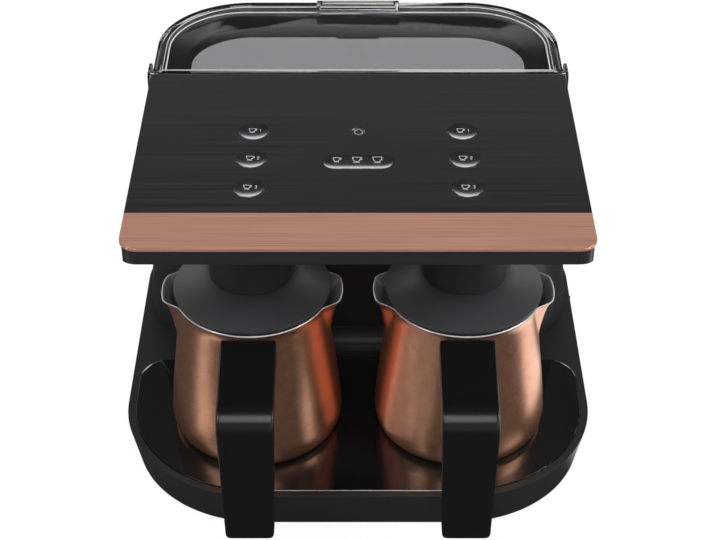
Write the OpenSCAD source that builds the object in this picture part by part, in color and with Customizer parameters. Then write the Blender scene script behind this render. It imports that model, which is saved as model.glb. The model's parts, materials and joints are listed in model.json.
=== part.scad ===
// Electric coffee maker: two copper-coloured pots stand on a glossy cooking plate under a
// cantilevered head with a key panel, and a clear water tank stands behind the column.
// Millimetres. +X is the maker's right as the user sees it, +Y runs to the back, +Z is up.
// The origin lies on the table, under the middle of the maker's box.

/* [Base] */
// Width of the base across its rim
body_w = 251; // [247:1:256]
// Height of the base shell's wall
base_h = 22.5; // [21.5:0.5:26]
// Height of the rubber feet
foot_h = 2; // [1.5:0.5:4]
// Distance that the pots' axes lie in front of the origin
pots_ahead = 42; // [38:0.5:46]
// Distance from the pots' axes to the front of the rim
base_front = 65; // [62:0.5:68]
// Distance from the pots' axes to the back of the rim
base_back = 173.5; // [173:0.5:178]
// Radius of the base's front corners
front_corner_r = 74; // [66:1:76]
// Radius of the base's back corners
back_corner_r = 50; // [44:1:54]
// How far the base's wall leans out from bottom to rim
base_flare = 4.5; // [3:0.5:6]
// Thickness of moulded walls
shell_t = 2.4; // [2:0.1:2.6]
// Thickness of the bottom cover
cover_t = 2.4; // [2:0.1:3]
// Diameter of a rubber foot
foot_d = 16; // [12:1:18]

/* [Cooking plate] */
// Width of the rim round the plate
rim_w = 4.4; // [3.5:0.1:5.5]
// Thickness of the plate
plate_t = 3; // [2.5:0.1:3.5]
// How far the plate stands proud of the rim
plate_proud = 0.5; // [0.3:0.1:1]
// Distance from the pots' axes to the plate's back edge
plate_back = 45; // [44:0.5:48]
// Radius of the plate's back corners
plate_back_r = 15; // [8:1:20]
// Thickness of the seal under the plate
seal_t = 0.8; // [0.5:0.1:1.2]
// Thickness of the ledge that carries the plate
ledge_t = 2; // [1.5:0.1:3]
// Width of the ledge
ledge_w = 5; // [4:0.5:7]

/* [Column] */
// Width of the column at its foot
column_w = 245; // [243:0.5:246]
// How far the column's top stands in under the head's side
column_top_in = 1.5; // [1:0.5:3]
// Distance from the pots' axes to the column's front
column_front = 61; // [60:0.5:63]
// Distance from the pots' axes to the column's back
column_back_y = 171; // [170:0.5:171.5]
// Radius of the column's front corners
column_front_r = 45; // [42:1:48]
// Radius of the column's back corners
column_back_r = 49; // [46:1:50]
// Height of the tank's shelf above the deck
shelf_h = 23.5; // [23:0.5:28]
// Distance from the pots' axes to the back of the electronics bay
bay_back = 94.5; // [94:0.5:95]
// Radius of the cove at the column's foot
cove_r = 12; // [8:1:14]

/* [Head] */
// Height of the key panel above the table
height = 183; // [181:1:190]
// Width of the head
head_w = 220; // [218:0.5:220]
// Distance from the pots' axes to the head's front edge
head_front = 67.8; // [66:0.2:70]
// Distance from the pots' axes to the head's back edge
head_back = 91.5; // [91:0.1:91.5]
// Radius of the head's front corners
head_corner_r = 9; // [6:0.5:12]
// Thickness of the top plate and the copper strip
top_t = 1.6; // [1.4:0.1:2]
// Depth of the head tray below the top plate
head_h = 20.4; // [20.4:0.2:22]
// Depth of the head tray at its front lip
lip_h = 7.5; // [6:0.5:9]
// Length over which the head's underside slopes down to its full depth
lip_run = 36; // [30:1:40]
// How far the tray stands back under the edge of the top plate
tray_inset = 0.8; // [0.5:0.1:1.2]
// Depth of the copper strip from front to back
strip_d = 29; // [26:0.5:31]

/* [Keys] */
// Diameter of a round key
key_d = 15; // [13:0.5:16]
// Distance of the key columns from the middle
key_x = 52.5; // [50:0.5:56]
// Distance from the pots' axes back to the middle key row
key_row = 7.8; // [6:0.2:10]
// Distance between key rows
key_pitch = 25.8; // [22:0.2:26]
// Width of the wide key
wide_key_w = 34.8; // [30:0.2:38]
// Depth of the wide key from front to back
wide_key_d = 13; // [11:0.5:14]
// Depth of the dish in a key's top
key_dish = 1; // [0.6:0.1:1.2]
// How far a key travels
key_travel = 0.8; // [0.5:0.1:0.8]
// Thickness of a key's flange
key_flange_t = 1.2; // [1:0.1:1.4]
// Diameter of a key's stem
key_stem_d = 6; // [5:0.5:7]
// Diameter of the indicator window
lamp_d = 7; // [5:0.5:9]

/* [Necks and cover discs] */
// Outer diameter of a neck
neck_d = 42.6; // [40:0.2:44]
// Wall thickness of a neck
neck_t = 2; // [1.6:0.1:2.4]
// Diameter of a cover disc
disc_d = 80.6; // [79:0.2:82]
// Thickness of a cover disc
disc_t = 1.8; // [1.5:0.1:2.2]
// Rise of a cover disc from its edge to its hub
disc_rise = 10; // [8:0.5:12]
// Gap between a pot's rim and the cover disc above it
disc_gap = 1.6; // [1:0.1:2]

/* [Pots] */
// Distance between the pots' axes
pot_pitch = 108.5; // [106:0.5:112]
// Height of a pot
pot_h = 84.4; // [80:0.2:86]
// Radius of a pot at its widest, near the bottom
pot_belly_r = 45.3; // [44:0.1:46]
// Radius of the neck under a pot's rim
pot_neck_r = 38.6; // [37.5:0.1:39]
// Radius of a pot's rim
pot_rim_r = 40; // [39.5:0.1:41]
// Height at which a pot is widest
pot_belly_z = 9; // [7:0.5:12]
// Height of the flare below the rim
pot_flare_h = 7; // [5:0.5:9]
// Radius of a pot's bottom edge
pot_edge_r = 5; // [4:0.5:6]
// Wall thickness of a pot
pot_t = 1.2; // [1:0.1:1.4]
// How far a spout reaches past the rim
spout_reach = 6.8; // [5:0.2:7]
// Width of a spout at its root
spout_root_w = 32; // [28:0.5:34]
// Width of a spout at its tip
spout_tip_w = 19; // [16:0.5:21]
// Height of a spout
spout_h = 24; // [18:1:28]

/* [Handles] */
// Width of a handle at its arm
handle_w = 28; // [26:0.5:30]
// Width of a handle at its foot
handle_foot_w = 24.5; // [22:0.5:26]
// Distance from a pot's axis to the front of its handle
handle_reach = 91; // [88:0.5:94]
// Thickness of the handle's leg
leg_t = 9; // [8:0.5:10]
// Thickness of the handle's arm at its root
arm_t = 11.5; // [11:0.5:13]
// How far the handle reaches below the plate's top
handle_drop = 6.5; // [4:0.5:10]
// How far the top of the handle's arm lies below the rim
arm_below_rim = 0.6; // [0.4:0.2:2]
// Radius of the knee between arm and leg
knee_r = 13; // [9:0.5:14]
// Drop of the arm's top from the pot to the knee
arm_slope = 9.6; // [6:0.2:11]
// Radius of the handle's foot corners
handle_corner_r = 4; // [3:0.5:4.5]
// Width of the steel bracket's tongue
tongue_w = 16; // [14:0.5:18]
// Thickness of the bracket's tongue
tongue_t = 2; // [1.6:0.1:2.4]
// Length of the tongue outside the pot
tongue_l = 18; // [16:0.5:20]
// Thickness of the bracket's pad on the pot
pad_t = 1.4; // [1:0.1:1.6]
// Diameter of the handle screw
handle_screw_d = 3.8; // [3:0.2:4]

/* [Tank] */
// Wall thickness of the tank
tank_t = 2.2; // [1.8:0.1:2.6]
// How far the tank's wall stands in from the column's outline
tank_inset = 0.8; // [0.5:0.1:1.2]
// Depth of the tank's rim below the key panel
tank_rim_drop = 7; // [7:0.5:8]
// Width of the black collar's band
collar_w = 12.6; // [10:0.2:14]
// Depth of the collar inside the tank
collar_h = 5.5; // [4:0.5:7]
// Thickness of the collar's flange on the tank's rim
collar_flange_t = 1.4; // [1:0.1:1.6]
// Distance from the pots' axes to the tank's valve
valve_y = 125; // [120:1:130]
// Outer radius of the valve body's tube
valve_r = 6.9; // [6:0.1:7.5]
// Length of the valve body below the tank's floor
valve_l = 6.2; // [5:0.2:8]
// Radius of the poppet's stem
stem_r = 1.5; // [1.2:0.1:1.8]
// How far the socket's pin holds the poppet open
valve_open = 1.5; // [1:0.1:2]

/* [Lid] */
// Thickness of the lid's rim band
lid_t = 2; // [1.8:0.1:2.2]
// How far the lid's pane is set down inside its rim band
lid_step = 0.6; // [0.4:0.1:0.8]
// Width of the lid's rim band
lid_band_w = 4.5; // [3.5:0.1:6]
// Depth of the lid's skirt below its sheet
skirt_h = 7; // [6:0.5:7.5]
// Thickness of the lid's skirt
skirt_t = 1.6; // [1.4:0.1:1.6]
// How far the lid's side stands in from the head's
lid_side_in = 0.8; // [0.6:0.1:1]
// Gap between the head's back edge and the lid
lid_gap = 1.5; // [1.2:0.1:2]
// Distance of the hinge axis behind the lid's front edge
hinge_back = 3; // [2.6:0.1:3.4]
// Depth of the hinge axis below the lid's top
hinge_drop = 2.4; // [2.2:0.1:2.6]
// Radius of the hinge pins
pin_r = 1.5; // [1.2:0.1:1.6]
// Length of a hinge ear from front to back
ear_l = 14.5; // [12:0.5:16]
// Thickness of a hinge ear
ear_t = 1.6; // [1.4:0.1:2]
// Width of the lid's finger tab
tab_w = 46.6; // [40:0.2:52]
// Depth of the finger tab on the lid
tab_d = 12.6; // [10:0.2:14]
// Height of the finger tab above the lid
tab_h = 1.2; // [0.8:0.1:1.5]

/* [Inside] */
// Outer radius of an induction coil
coil_r = 36; // [32:1:38]
// Height of an induction coil
coil_h = 5; // [4:0.5:5]
// Diameter of a pump
pump_d = 24; // [20:1:24]
// Length of a pump
pump_l = 40; // [34:1:44]
// Outer radius of a hose
hose_r = 2.6; // [2.2:0.1:2.7]
// Bore radius of a hose
hose_bore_r = 1.8; // [1.5:0.1:1.9]
// Bend radius of a hose
hose_bend_r = 8; // [7:0.5:10]
// Side of the square cooling fan
fan_w = 50; // [44:1:52]
// Depth of the cooling fan
fan_h = 10; // [8:0.5:12]
// Distance of the fan's axis from the base's right edge
fan_in = 65.5; // [62:0.5:70]
// Distance from the pots' axes to the fan's axis
fan_y = 130; // [126:1:134]
// Thickness of the circuit boards
board_t = 1.6; // [1.2:0.1:2]
// Width of the power board
power_board_w = 76; // [60:1:80]
// Gap between the power board and the shelf below it
power_board_lift = 12; // [8:1:16]
// Gap between the power board and the head above it
power_board_drop = 11; // [8:1:20]

/* [Power switch and cord inlet] */
// Length of the power rocker
rocker_l = 19.6; // [16:0.2:21]
// Height of the power rocker
rocker_w = 7.8; // [6:0.2:9]
// Distance from the pots' axes to the power switch
switch_y = 105.5; // [100:0.5:110]
// Height of the power switch above the table
switch_z = 14; // [13:0.5:15]
// How far the rocker tilts to each side
rocker_tilt = 6; // [4:0.5:7]
// How far the rocker stands out of the base's wall
rocker_face = 2.6; // [2.2:0.1:3]
// Bore radius of the cord inlet
inlet_r = 3.6; // [3:0.1:4]
// Distance of the cord inlet from the middle
inlet_x = 60; // [50:1:65]

/* [Fits] */
// Radial gap of a pin or stem that turns or slides in a bore
run_gap = 0.06; // [0.03:0.01:0.1]
// Gap between neighbouring fixed pieces
fit_gap = 0.3; // [0.2:0.05:0.4]
// Gap round a key or between pieces that move past each other
move_gap = 0.3; // [0.3:0.05:0.5]
// Gap round a screw's shaft
screw_gap = 0.1; // [0.05:0.01:0.2]

/* [Hidden] */
$fn = 96;
hull_fn = 48; // round parts inside a hull
slab = 0.01;  // thickness of the slabs that a tapered hull is stretched between
far = 400;    // longer than the maker, for cuts that go right through
lap = 1;      // how far joined shapes run into each other
tank_gap = 0.7;    // between the back panel and the tank
lid_overhang = 2;  // from the column's back to the lid's
ear_gap = 0.4;     // between the head's side and a hinge ear

// Levels, from the table up
cover_top = foot_h + cover_t;
rim_z = foot_h + base_h;
plate_z = rim_z + plate_proud;
plate_under = plate_z - plate_t;
deck_under = rim_z - shell_t;
ledge_z = plate_under - seal_t;
shelf_z = rim_z + shelf_h;
shelf_under = shelf_z - shell_t;
tray_top = height - top_t;
head_z = tray_top - head_h;
tray_floor = head_z + shell_t;
lip_z = tray_top - lip_h;
disc_z = plate_z + pot_h + disc_gap;
hub_z = disc_z + disc_rise;
tank_z = shelf_z + 0.2;
tank_floor = tank_z + tank_t;
tank_top = height - tank_rim_drop;
lid_under = height - lid_t;
hinge_z = height - hinge_drop;

// Places along Y, and half widths along X
pot_y = -pots_ahead;
pot_x = pot_pitch / 2;
half_base = body_w / 2;
base_y0 = pot_y - base_front;
base_y1 = pot_y + base_back;
plate_half = half_base - rim_w;
plate_front_r = front_corner_r - rim_w;
bay_y1 = pot_y + bay_back;
bay_y0 = bay_y1 - shell_t;
head_half = head_w / 2;
head_y0 = pot_y - head_front;
head_y1 = pot_y + head_back;
strip_y1 = head_y0 + strip_d;
tank_y0 = bay_y1 + tank_gap;
lid_y0 = head_y1 + lid_gap;
lid_y1 = pot_y + column_back_y + lid_overhang;
column_lean = column_w / 2 - head_half + column_top_in;
fan_x = half_base - fan_in;
lid_half = head_half - lid_side_in;
hinge_y = lid_y0 + hinge_back;
ear_x0 = head_half + ear_gap;
ear_x1 = ear_x0 + ear_t;
tank_valve_y = pot_y + valve_y;

// Depth of the base's wall inside its rim at height z
function flare_at(z) = base_flare * (rim_z - z) / base_h;
// Half width of the column's outline at height z
function column_half(z) = column_w / 2 - column_lean * (z - rim_z) / (head_z - rim_z);
// Points of an arc from angle a0 to a1
function arc(cx, cy, r, a0, a1, n = 8) =
  [for (i = [0:n]) let(a = a0 + (a1 - a0) * i / n) [cx + r * cos(a), cy + r * sin(a)]];

// ---- shared shapes ----

// Stretch of an outline in Y and Z, centred along X
module along_x(half) {
  rotate([90, 0, 90]) linear_extrude(2 * half, center = true) children();
}

// Stretch of an outline in X and Z from y0 to y1
module along_y(y0, y1) {
  translate([0, y1, 0]) rotate([90, 0, 0]) linear_extrude(y1 - y0) children();
}

// Cylinder that points along +Y from (x, y, z)
module rod_y(x, y, z, r, l) {
  translate([x, y, z]) rotate([-90, 0, 0]) cylinder(h = l, r = r);
}

// Both sides of the maker, mirrored
module both_sides() {
  children();
  mirror([1, 0, 0]) children();
}

// Rounded outline, symmetric about Y, with front radius rf and back radius rb
module rounded_outline(half, y0, y1, rf, rb) {
  intersection() {
    union() {
      for (s = [-1, 1]) {
        translate([s * (half - rf), y0 + rf]) circle(rf);
        translate([s * (half - rb), y1 - rb]) circle(rb);
      }
      translate([-half, y0 + rf]) square([2 * half, y1 - y0 - rf - rb]);
      translate([rf - half, y0]) square([2 * (half - rf), y1 - y0 - rb]);
      translate([rb - half, y0 + rf]) square([2 * (half - rb), y1 - y0 - rf]);
    }
    translate([-half, y0]) square([2 * half, y1 - y0]);
  }
}

// The base's leaning outline between two levels, set in all round
module base_block(inset, z0, z1) {
  i0 = inset + flare_at(z0);
  i1 = inset + flare_at(z1);
  for (s = [-1, 1]) {
    translate([s * (half_base - front_corner_r), base_y0 + front_corner_r, z0])
      cylinder(h = z1 - z0, r1 = front_corner_r - i0, r2 = front_corner_r - i1);
    translate([s * (half_base - back_corner_r), base_y1 - back_corner_r, z0])
      cylinder(h = z1 - z0, r1 = back_corner_r - i0, r2 = back_corner_r - i1);
  }
  along_x(half_base - front_corner_r)
    polygon([[base_y0 + i0, z0], [0, z0], [0, z1], [base_y0 + i1, z1]]);
  along_x(half_base - back_corner_r)
    polygon([[-lap, z0], [base_y1 - i0, z0], [base_y1 - i1, z1], [-lap, z1]]);
  along_y(base_y0 + front_corner_r, base_y1 - back_corner_r)
    polygon([[i0 - half_base, z0], [half_base - i0, z0],
             [half_base - i1, z1], [i1 - half_base, z1]]);
}

// The plate's outline, grown by g all round
module plate_outline(g) {
  rounded_outline(plate_half + g, base_y0 + rim_w - g, pot_y + plate_back + g,
                  plate_front_r + g, plate_back_r + g);
}

// The column's leaning outline between two levels, set in all round
module column_block(inset, z0, z1) {
  hull() for (z = [z0, z1 - slab], s = [-1, 1]) {
    translate([s * (column_half(z) - column_front_r),
               pot_y + column_front + column_front_r, z])
      cylinder(h = slab, r = column_front_r - inset, $fn = hull_fn);
    translate([s * (column_half(z) - column_back_r),
               pot_y + column_back_y - column_back_r, z])
      cylinder(h = slab, r = column_back_r - inset, $fn = hull_fn);
  }
}

// The head's outline, grown by g all round
module head_outline(g) {
  back_r = 2;
  rounded_outline(head_half + g, head_y0 - g, head_y1 + g, head_corner_r + g, back_r);
}

// ---- base ----

base_screw_r = 1.4;
base_screw_head_r = 2.9;
base_screw_head_h = 1.1;
base_screw_l = 9;
boss_r = 4;
// Places of the screws on the right, each with the level of what its boss stands under
base_bosses = [
  [half_base - 65.5, base_y0 + rim_w + 7.5, ledge_z - ledge_t],
  [half_base - shell_t - 8, pot_y + 60, deck_under],
  [half_base - shell_t - 18, base_y1 - 30, deck_under]
];
foot_in = [62, 26]; // from the base's side and from its front or back edge
// Passage for hoses and wires between base, column and head
passage_half = pot_x + pump_d / 2 + 3.75;
passage_in = [7, 8]; // from the column's front and back

// Rocker's own frame: x out of the base's right wall, z up along it
module at_switch() {
  translate([half_base - flare_at(switch_z), pot_y + switch_y, switch_z])
    rotate([0, atan(base_flare / base_h), 0]) children();
}

switch_body = [12, rocker_l + 3.6, rocker_w + 2.6]; // depth, length and height
vent_x = -11; // first slot's left side
vent_pitch = 7;
vent_n = 6;
vent_size = [3, 20, 9];
vent_lift = 7; // above the feet

module base_shell() {
  color([0.1, 0.1, 0.1]) difference() {
    union() {
      difference() {
        base_block(0, foot_h, rim_z);
        base_block(shell_t, foot_h - 1, deck_under);
      }
      // frame round the plate, with the ledge that carries it
      intersection() {
        translate([0, 0, ledge_z - ledge_t]) linear_extrude(rim_z - ledge_z + ledge_t)
          plate_outline(ledge_t);
        base_block(shell_t / 2, foot_h, rim_z);
      }
      both_sides() for (b = base_bosses)
        translate([b[0], b[1], cover_top]) cylinder(h = b[2] - cover_top + 0.5, r = boss_r);
    }
    translate([0, 0, ledge_z]) linear_extrude(far) plate_outline(fit_gap);
    translate([0, 0, ledge_z - ledge_t - 1]) linear_extrude(far) plate_outline(-ledge_w);
    both_sides() for (b = base_bosses)
      translate([b[0], b[1], foot_h])
        cylinder(h = base_screw_l + 3, r = base_screw_r + screw_gap / 2);
    translate([-passage_half, pot_y + column_front + passage_in[0], cover_top])
      cube([2 * passage_half, column_back_y - column_front - passage_in[0] - passage_in[1], far]);
    at_switch() translate([-switch_body[0], 0, 0])
      cube([4 * switch_body[0], switch_body[1] + 2 * screw_gap,
            switch_body[2] + 2 * screw_gap], center = true);
    rod_y(-inlet_x, base_y1 - 20, base_inlet_z, gland_r + screw_gap, 40);
    for (i = [0:vent_n - 1])
      translate([vent_x + i * vent_pitch, base_y1 - vent_size[1] / 2, foot_h + vent_lift])
        cube(vent_size);
  }
}

module bottom_cover() {
  slot = [40, 3];
  slot_pitch = 6;
  color([0.16, 0.16, 0.16]) difference() {
    base_block(shell_t + fit_gap, foot_h, cover_top);
    both_sides() for (b = base_bosses) translate([b[0], b[1], foot_h - 1]) {
      cylinder(h = far, r = base_screw_r + screw_gap);
      cylinder(h = 1 + base_screw_head_h + 0.1, r = base_screw_head_r + screw_gap);
    }
    for (i = [-3:3])
      translate([fan_x - slot[0] / 2, pot_y + fan_y + slot_pitch * i - slot[1] / 2, 0])
        cube([slot[0], slot[1], far]);
  }
}

module feet() {
  color([0.05, 0.05, 0.05]) both_sides() for (y = [base_y0 + foot_in[1], base_y1 - foot_in[1]])
    translate([half_base - foot_in[0], y, 0]) cylinder(h = foot_h, r = foot_d / 2);
}

module base_screws() {
  color([0.7, 0.7, 0.72]) both_sides() for (b = base_bosses) translate([b[0], b[1], foot_h]) {
    translate([0, 0, 0.1]) cylinder(h = base_screw_head_h, r = base_screw_head_r);
    translate([0, 0, 0.1 + base_screw_head_h - slab])
      cylinder(h = base_screw_l, r = base_screw_r);
  }
}

// ---- cooking plate and what heats it ----

carrier_t = 2.8;
coil_gap = 3.8; // from the plate's underside to the coil
carrier_z = plate_under - coil_gap - coil_h - carrier_t;
sensor_r = 4.5;

module at_pots() {
  for (s = [-1, 1]) translate([s * pot_x, pot_y, 0]) children();
}

module cooking_plate() {
  color([0.04, 0.04, 0.045]) translate([0, 0, plate_under]) linear_extrude(plate_t)
    plate_outline(0);
}

module plate_seal() {
  color([0.08, 0.08, 0.08]) translate([0, 0, ledge_z]) linear_extrude(seal_t) difference() {
    plate_outline(0);
    plate_outline(-ledge_w + fit_gap);
  }
}

module coils() {
  color([0.72, 0.4, 0.2]) at_pots() translate([0, 0, carrier_z + carrier_t]) difference() {
    cylinder(h = coil_h, r = coil_r);
    translate([0, 0, -1]) cylinder(h = coil_h + 2, r = coil_r / 3);
  }
}

module coil_carriers() {
  leg_r = 3;
  color([0.85, 0.83, 0.76]) at_pots() difference() {
    union() {
      translate([0, 0, carrier_z]) cylinder(h = carrier_t, r = coil_r + 2);
      for (a = [0, 120, 240]) rotate([0, 0, a]) translate([coil_r - leg_r, 0, cover_top])
        cylinder(h = carrier_z - cover_top + 1, r = leg_r);
    }
    translate([0, 0, carrier_z - 1]) cylinder(h = carrier_t + 2, r = sensor_r + fit_gap);
  }
}

module ferrite_bars() {
  bar = [18, 6, 2];
  color([0.2, 0.2, 0.22]) at_pots() for (a = [30:60:330]) rotate([0, 0, a])
    translate([coil_r - bar[0] - 4, -bar[1] / 2, carrier_z - bar[2]]) cube(bar);
}

module plate_sensors() {
  color([0.8, 0.8, 0.82]) at_pots() {
    translate([0, 0, carrier_z + carrier_t]) cylinder(h = 1, r = sensor_r + 2);
    translate([0, 0, carrier_z + carrier_t])
      cylinder(h = plate_under - carrier_z - carrier_t - 0.1, r = sensor_r);
  }
}

// ---- column ----

column_bosses = [shelf_z + 22, head_z - 16]; // heights of the back panel's screws
column_boss = [3.4, 10];   // radius and depth
column_boss_in = 11.5;     // from the column's outline to a screw
column_screw_r = 1.4;
column_screw_head = [2.6, 1.2]; // radius and height

module column_bosses_at() {
  both_sides() for (z = column_bosses)
    translate([column_half(z) - column_boss_in, 0, z]) children();
}

module column_shell() {
  cove_edge = 0.4; // thickness at the cove's front edge
  color([0.08, 0.08, 0.085]) difference() {
    union() {
      difference() {
        column_block(0, rim_z, head_z);
        column_block(shell_t, rim_z - 1, shelf_under);
        intersection() {
          column_block(shell_t, shelf_under - 1, head_z + 1);
          union() {
            translate([-far / 2, bay_y0 - far, 0]) cube([far, far, far]);
            translate([-far / 2, bay_y0 - 1, shelf_z]) cube([far, far, far]);
          }
        }
        translate([-far / 2, bay_y1, shelf_z]) cube([far, far, far]);
      }
      column_bosses_at() rod_y(0, bay_y0 - column_boss[1], 0, column_boss[0], column_boss[1]);
      // cove along the foot of the front wall
      along_x(column_w / 2 - column_front_r) difference() {
        translate([pot_y + column_front - cove_r, rim_z]) square([cove_r + lap, cove_r]);
        translate([pot_y + column_front - cove_r, rim_z + cove_r]) circle(cove_r - cove_edge);
      }
    }
    column_bosses_at()
      rod_y(0, bay_y0 - column_boss[1] + 1, 0, column_screw_r + screw_gap / 2, 12);
    // seat of the tank's socket
    translate([0, tank_valve_y, shelf_under - 1])
      cylinder(h = 10, r = socket_r + fit_gap / 2);
  }
}

module column_back() {
  // from the column's half width to the panel's side, where it meets the round front corner
  edge = sqrt(pow(column_front_r - shell_t, 2)
              - pow(column_front + column_front_r - bay_back + shell_t, 2))
         - column_front_r - fit_gap;
  standoff_r = 3;
  standoff_in = 6;
  color([0.13, 0.13, 0.13]) difference() {
    union() {
      along_y(bay_y0, bay_y1) polygon([
        [-column_half(shelf_z) - edge, shelf_z], [column_half(shelf_z) + edge, shelf_z],
        [column_half(head_z) + edge, head_z], [-column_half(head_z) - edge, head_z]
      ]);
      for (x = [-1, 1], z = [standoff_in, power_board_h - standoff_in])
        rod_y(x * (power_board_w / 2 - standoff_in), bay_y0 - standoff_l, power_board_z + z,
              standoff_r, standoff_l + 0.5);
    }
    column_bosses_at() {
      rod_y(0, bay_y0 - 1, 0, column_screw_r + screw_gap, 10);
      rod_y(0, bay_y1 - column_screw_head[1] - 0.1, 0, column_screw_head[0] + screw_gap, 10);
    }
  }
}

module column_screws() {
  color([0.7, 0.7, 0.72]) column_bosses_at() {
    rod_y(0, bay_y1 - column_screw_head[1] - 0.1, 0, column_screw_head[0], column_screw_head[1]);
    rod_y(0, bay_y1 - 10, 0, column_screw_r, 9);
  }
}

// ---- head ----

post_x = key_x + key_d / 2 + 6;
post_y = [key_row - key_pitch - 9, key_row + key_pitch + 9]; // behind the pots' axes
post_r = 3;
post_in = 5; // from the board's edges to the posts
board_screw_r = 1.15;
plate_gap = 0.5; // between the top plate and what moves or sits below it
stop_gap = 0.1;  // between a key that is fully down and its stop
flange_z = tray_top - plate_gap - key_flange_t;
guide_top = flange_z - key_travel - stop_gap;
guide_t = 1.8;
switch_room = 7; // between key board and guide
board_z = guide_top - guide_t - switch_room;
hose_hole_r = 6;
tray_passage_in = [4, 5]; // from the column's front and the head's back

module head_tray() {
  slope_y = head_y0 + lip_run;
  t = shell_t;
  rib_t = 4;
  color([0.07, 0.07, 0.075]) difference() {
    union() {
      difference() {
        intersection() {
          along_x(head_half) polygon([
            [head_y0, lip_z], [slope_y, head_z], [head_y1, head_z],
            [head_y1, tray_top], [head_y0, tray_top]
          ]);
          translate([0, 0, head_z]) linear_extrude(head_h) head_outline(-tray_inset);
        }
        intersection() {
          along_x(head_half) polygon([
            [head_y0, lip_z + t], [slope_y, head_z + t], [head_y1, head_z + t],
            [head_y1, tray_top + 1], [head_y0, tray_top + 1]
          ]);
          translate([0, 0, head_z]) linear_extrude(head_h + 1) head_outline(-tray_inset - t);
        }
      }
      // cross rib under the joint of top plate and copper strip
      translate([-head_half + t, strip_y1 - rib_t / 2, lip_z])
        cube([head_w - 2 * t, rib_t, lip_h]);
      at_posts() translate([0, 0, tray_floor - 0.5])
        cylinder(h = board_z - tray_floor + 0.5, r = post_r);
    }
    at_posts() translate([0, 0, tray_floor]) cylinder(h = far, r = board_screw_r + 0.05);
    at_pots() cylinder(h = far, r = hose_hole_r);
    translate([-passage_half, pot_y + column_front + tray_passage_in[0], head_z - 1])
      cube([2 * passage_half,
            head_back - column_front - tray_passage_in[0] - tray_passage_in[1], t + 2]);
  }
}

module at_posts() {
  for (s = [-1, 1], y = post_y) translate([s * post_x, pot_y + y, 0]) children();
}

module at_round_keys() {
  for (s = [-1, 1], i = [-1:1])
    translate([s * key_x, pot_y + key_row + i * key_pitch, 0]) children();
}

wide_key_y = key_row - 2.3; // behind the pots' axes
lamp_y = key_row + key_pitch;

// Slot-shaped outline of the wide key, grown by g
module wide_key_outline(g) {
  r = wide_key_d / 2 + g;
  half = wide_key_w / 2 - wide_key_d / 2;
  for (s = [-1, 1]) translate([s * half, 0]) circle(r);
  square([2 * half, 2 * r], center = true);
}

module top_plate() {
  color([0.17, 0.17, 0.175]) translate([0, 0, tray_top]) linear_extrude(top_t) difference() {
    intersection() {
      head_outline(0);
      translate([-far / 2, strip_y1 + 0.1]) square([far, far]);
    }
    at_round_keys() circle(key_d / 2 + move_gap);
    translate([0, pot_y + wide_key_y]) wide_key_outline(move_gap);
    translate([0, pot_y + lamp_y]) circle(lamp_d / 2 + 0.1);
  }
}

module copper_strip() {
  color([0.75, 0.5, 0.4]) translate([0, 0, tray_top]) linear_extrude(top_t) intersection() {
    head_outline(0);
    translate([-far / 2, strip_y1 - far]) square([far, far]);
  }
}

key_flange_w = 1.5;
switch_h = 2;
stem_foot = board_z + board_t + switch_h + key_travel + stop_gap;

// Key with a dished top, a flange under the top plate and a guided stem
module round_key(side, row) {
  dish_r = (pow(key_d / 2 - 0.3, 2) + pow(key_dish, 2)) / (2 * key_dish);
  color([0.15, 0.15, 0.155]) translate([side * key_x, pot_y + key_row + row * key_pitch, 0])
    difference() {
      union() {
        translate([0, 0, flange_z]) cylinder(h = height - flange_z, r = key_d / 2);
        translate([0, 0, flange_z]) cylinder(h = key_flange_t, r = key_d / 2 + key_flange_w);
        translate([0, 0, stem_foot]) cylinder(h = flange_z - stem_foot + 0.1, r = key_stem_d / 2);
      }
      translate([0, 0, height - key_dish + dish_r]) sphere(dish_r);
    }
}

module key_size() {
  dish_r = (pow(wide_key_d / 2 - 0.3, 2) + pow(key_dish, 2)) / (2 * key_dish);
  dish_half = wide_key_w / 2 - wide_key_d / 2;
  color([0.15, 0.15, 0.155]) translate([0, pot_y + wide_key_y, 0]) difference() {
    union() {
      translate([0, 0, flange_z]) linear_extrude(height - flange_z) wide_key_outline(0);
      translate([0, 0, flange_z]) linear_extrude(key_flange_t) wide_key_outline(key_flange_w);
      translate([0, 0, stem_foot]) cylinder(h = flange_z - stem_foot + 0.1, r = key_stem_d / 2);
    }
    translate([0, 0, height - key_dish + dish_r]) {
      rotate([0, 90, 0]) cylinder(h = 2 * dish_half, r = dish_r, center = true);
      for (s = [-1, 1]) translate([s * dish_half, 0, 0]) sphere(dish_r);
    }
  }
}

// Outline that key board and guide share
module board_outline() {
  translate([-post_x - post_in, pot_y + post_y[0] - post_in])
    square([2 * (post_x + post_in), post_y[1] - post_y[0] + 2 * post_in]);
}

module key_guide() {
  leg_h = guide_top - guide_t - board_z - board_t;
  color([0.1, 0.1, 0.1]) difference() {
    union() {
      translate([0, 0, guide_top - guide_t]) linear_extrude(guide_t) board_outline();
      at_posts() translate([0, 0, board_z + board_t]) cylinder(h = leg_h + 0.5, r = post_r);
    }
    at_posts() translate([0, 0, board_z]) cylinder(h = far, r = board_screw_r + screw_gap);
    at_round_keys() cylinder(h = far, r = key_stem_d / 2 + run_gap);
    translate([0, pot_y + wide_key_y, 0]) cylinder(h = far, r = key_stem_d / 2 + run_gap);
  }
}

module key_board() {
  color([0.05, 0.25, 0.12]) translate([0, 0, board_z]) linear_extrude(board_t) difference() {
    board_outline();
    at_posts() circle(board_screw_r + screw_gap);
  }
}

module key_switches() {
  side = 6;
  color([0.8, 0.8, 0.82]) translate([0, 0, board_z + board_t]) {
    at_round_keys() translate([-side / 2, -side / 2, 0]) cube([side, side, switch_h]);
    translate([-side / 2, pot_y + wide_key_y - side / 2, 0]) cube([side, side, switch_h]);
  }
}

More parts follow.
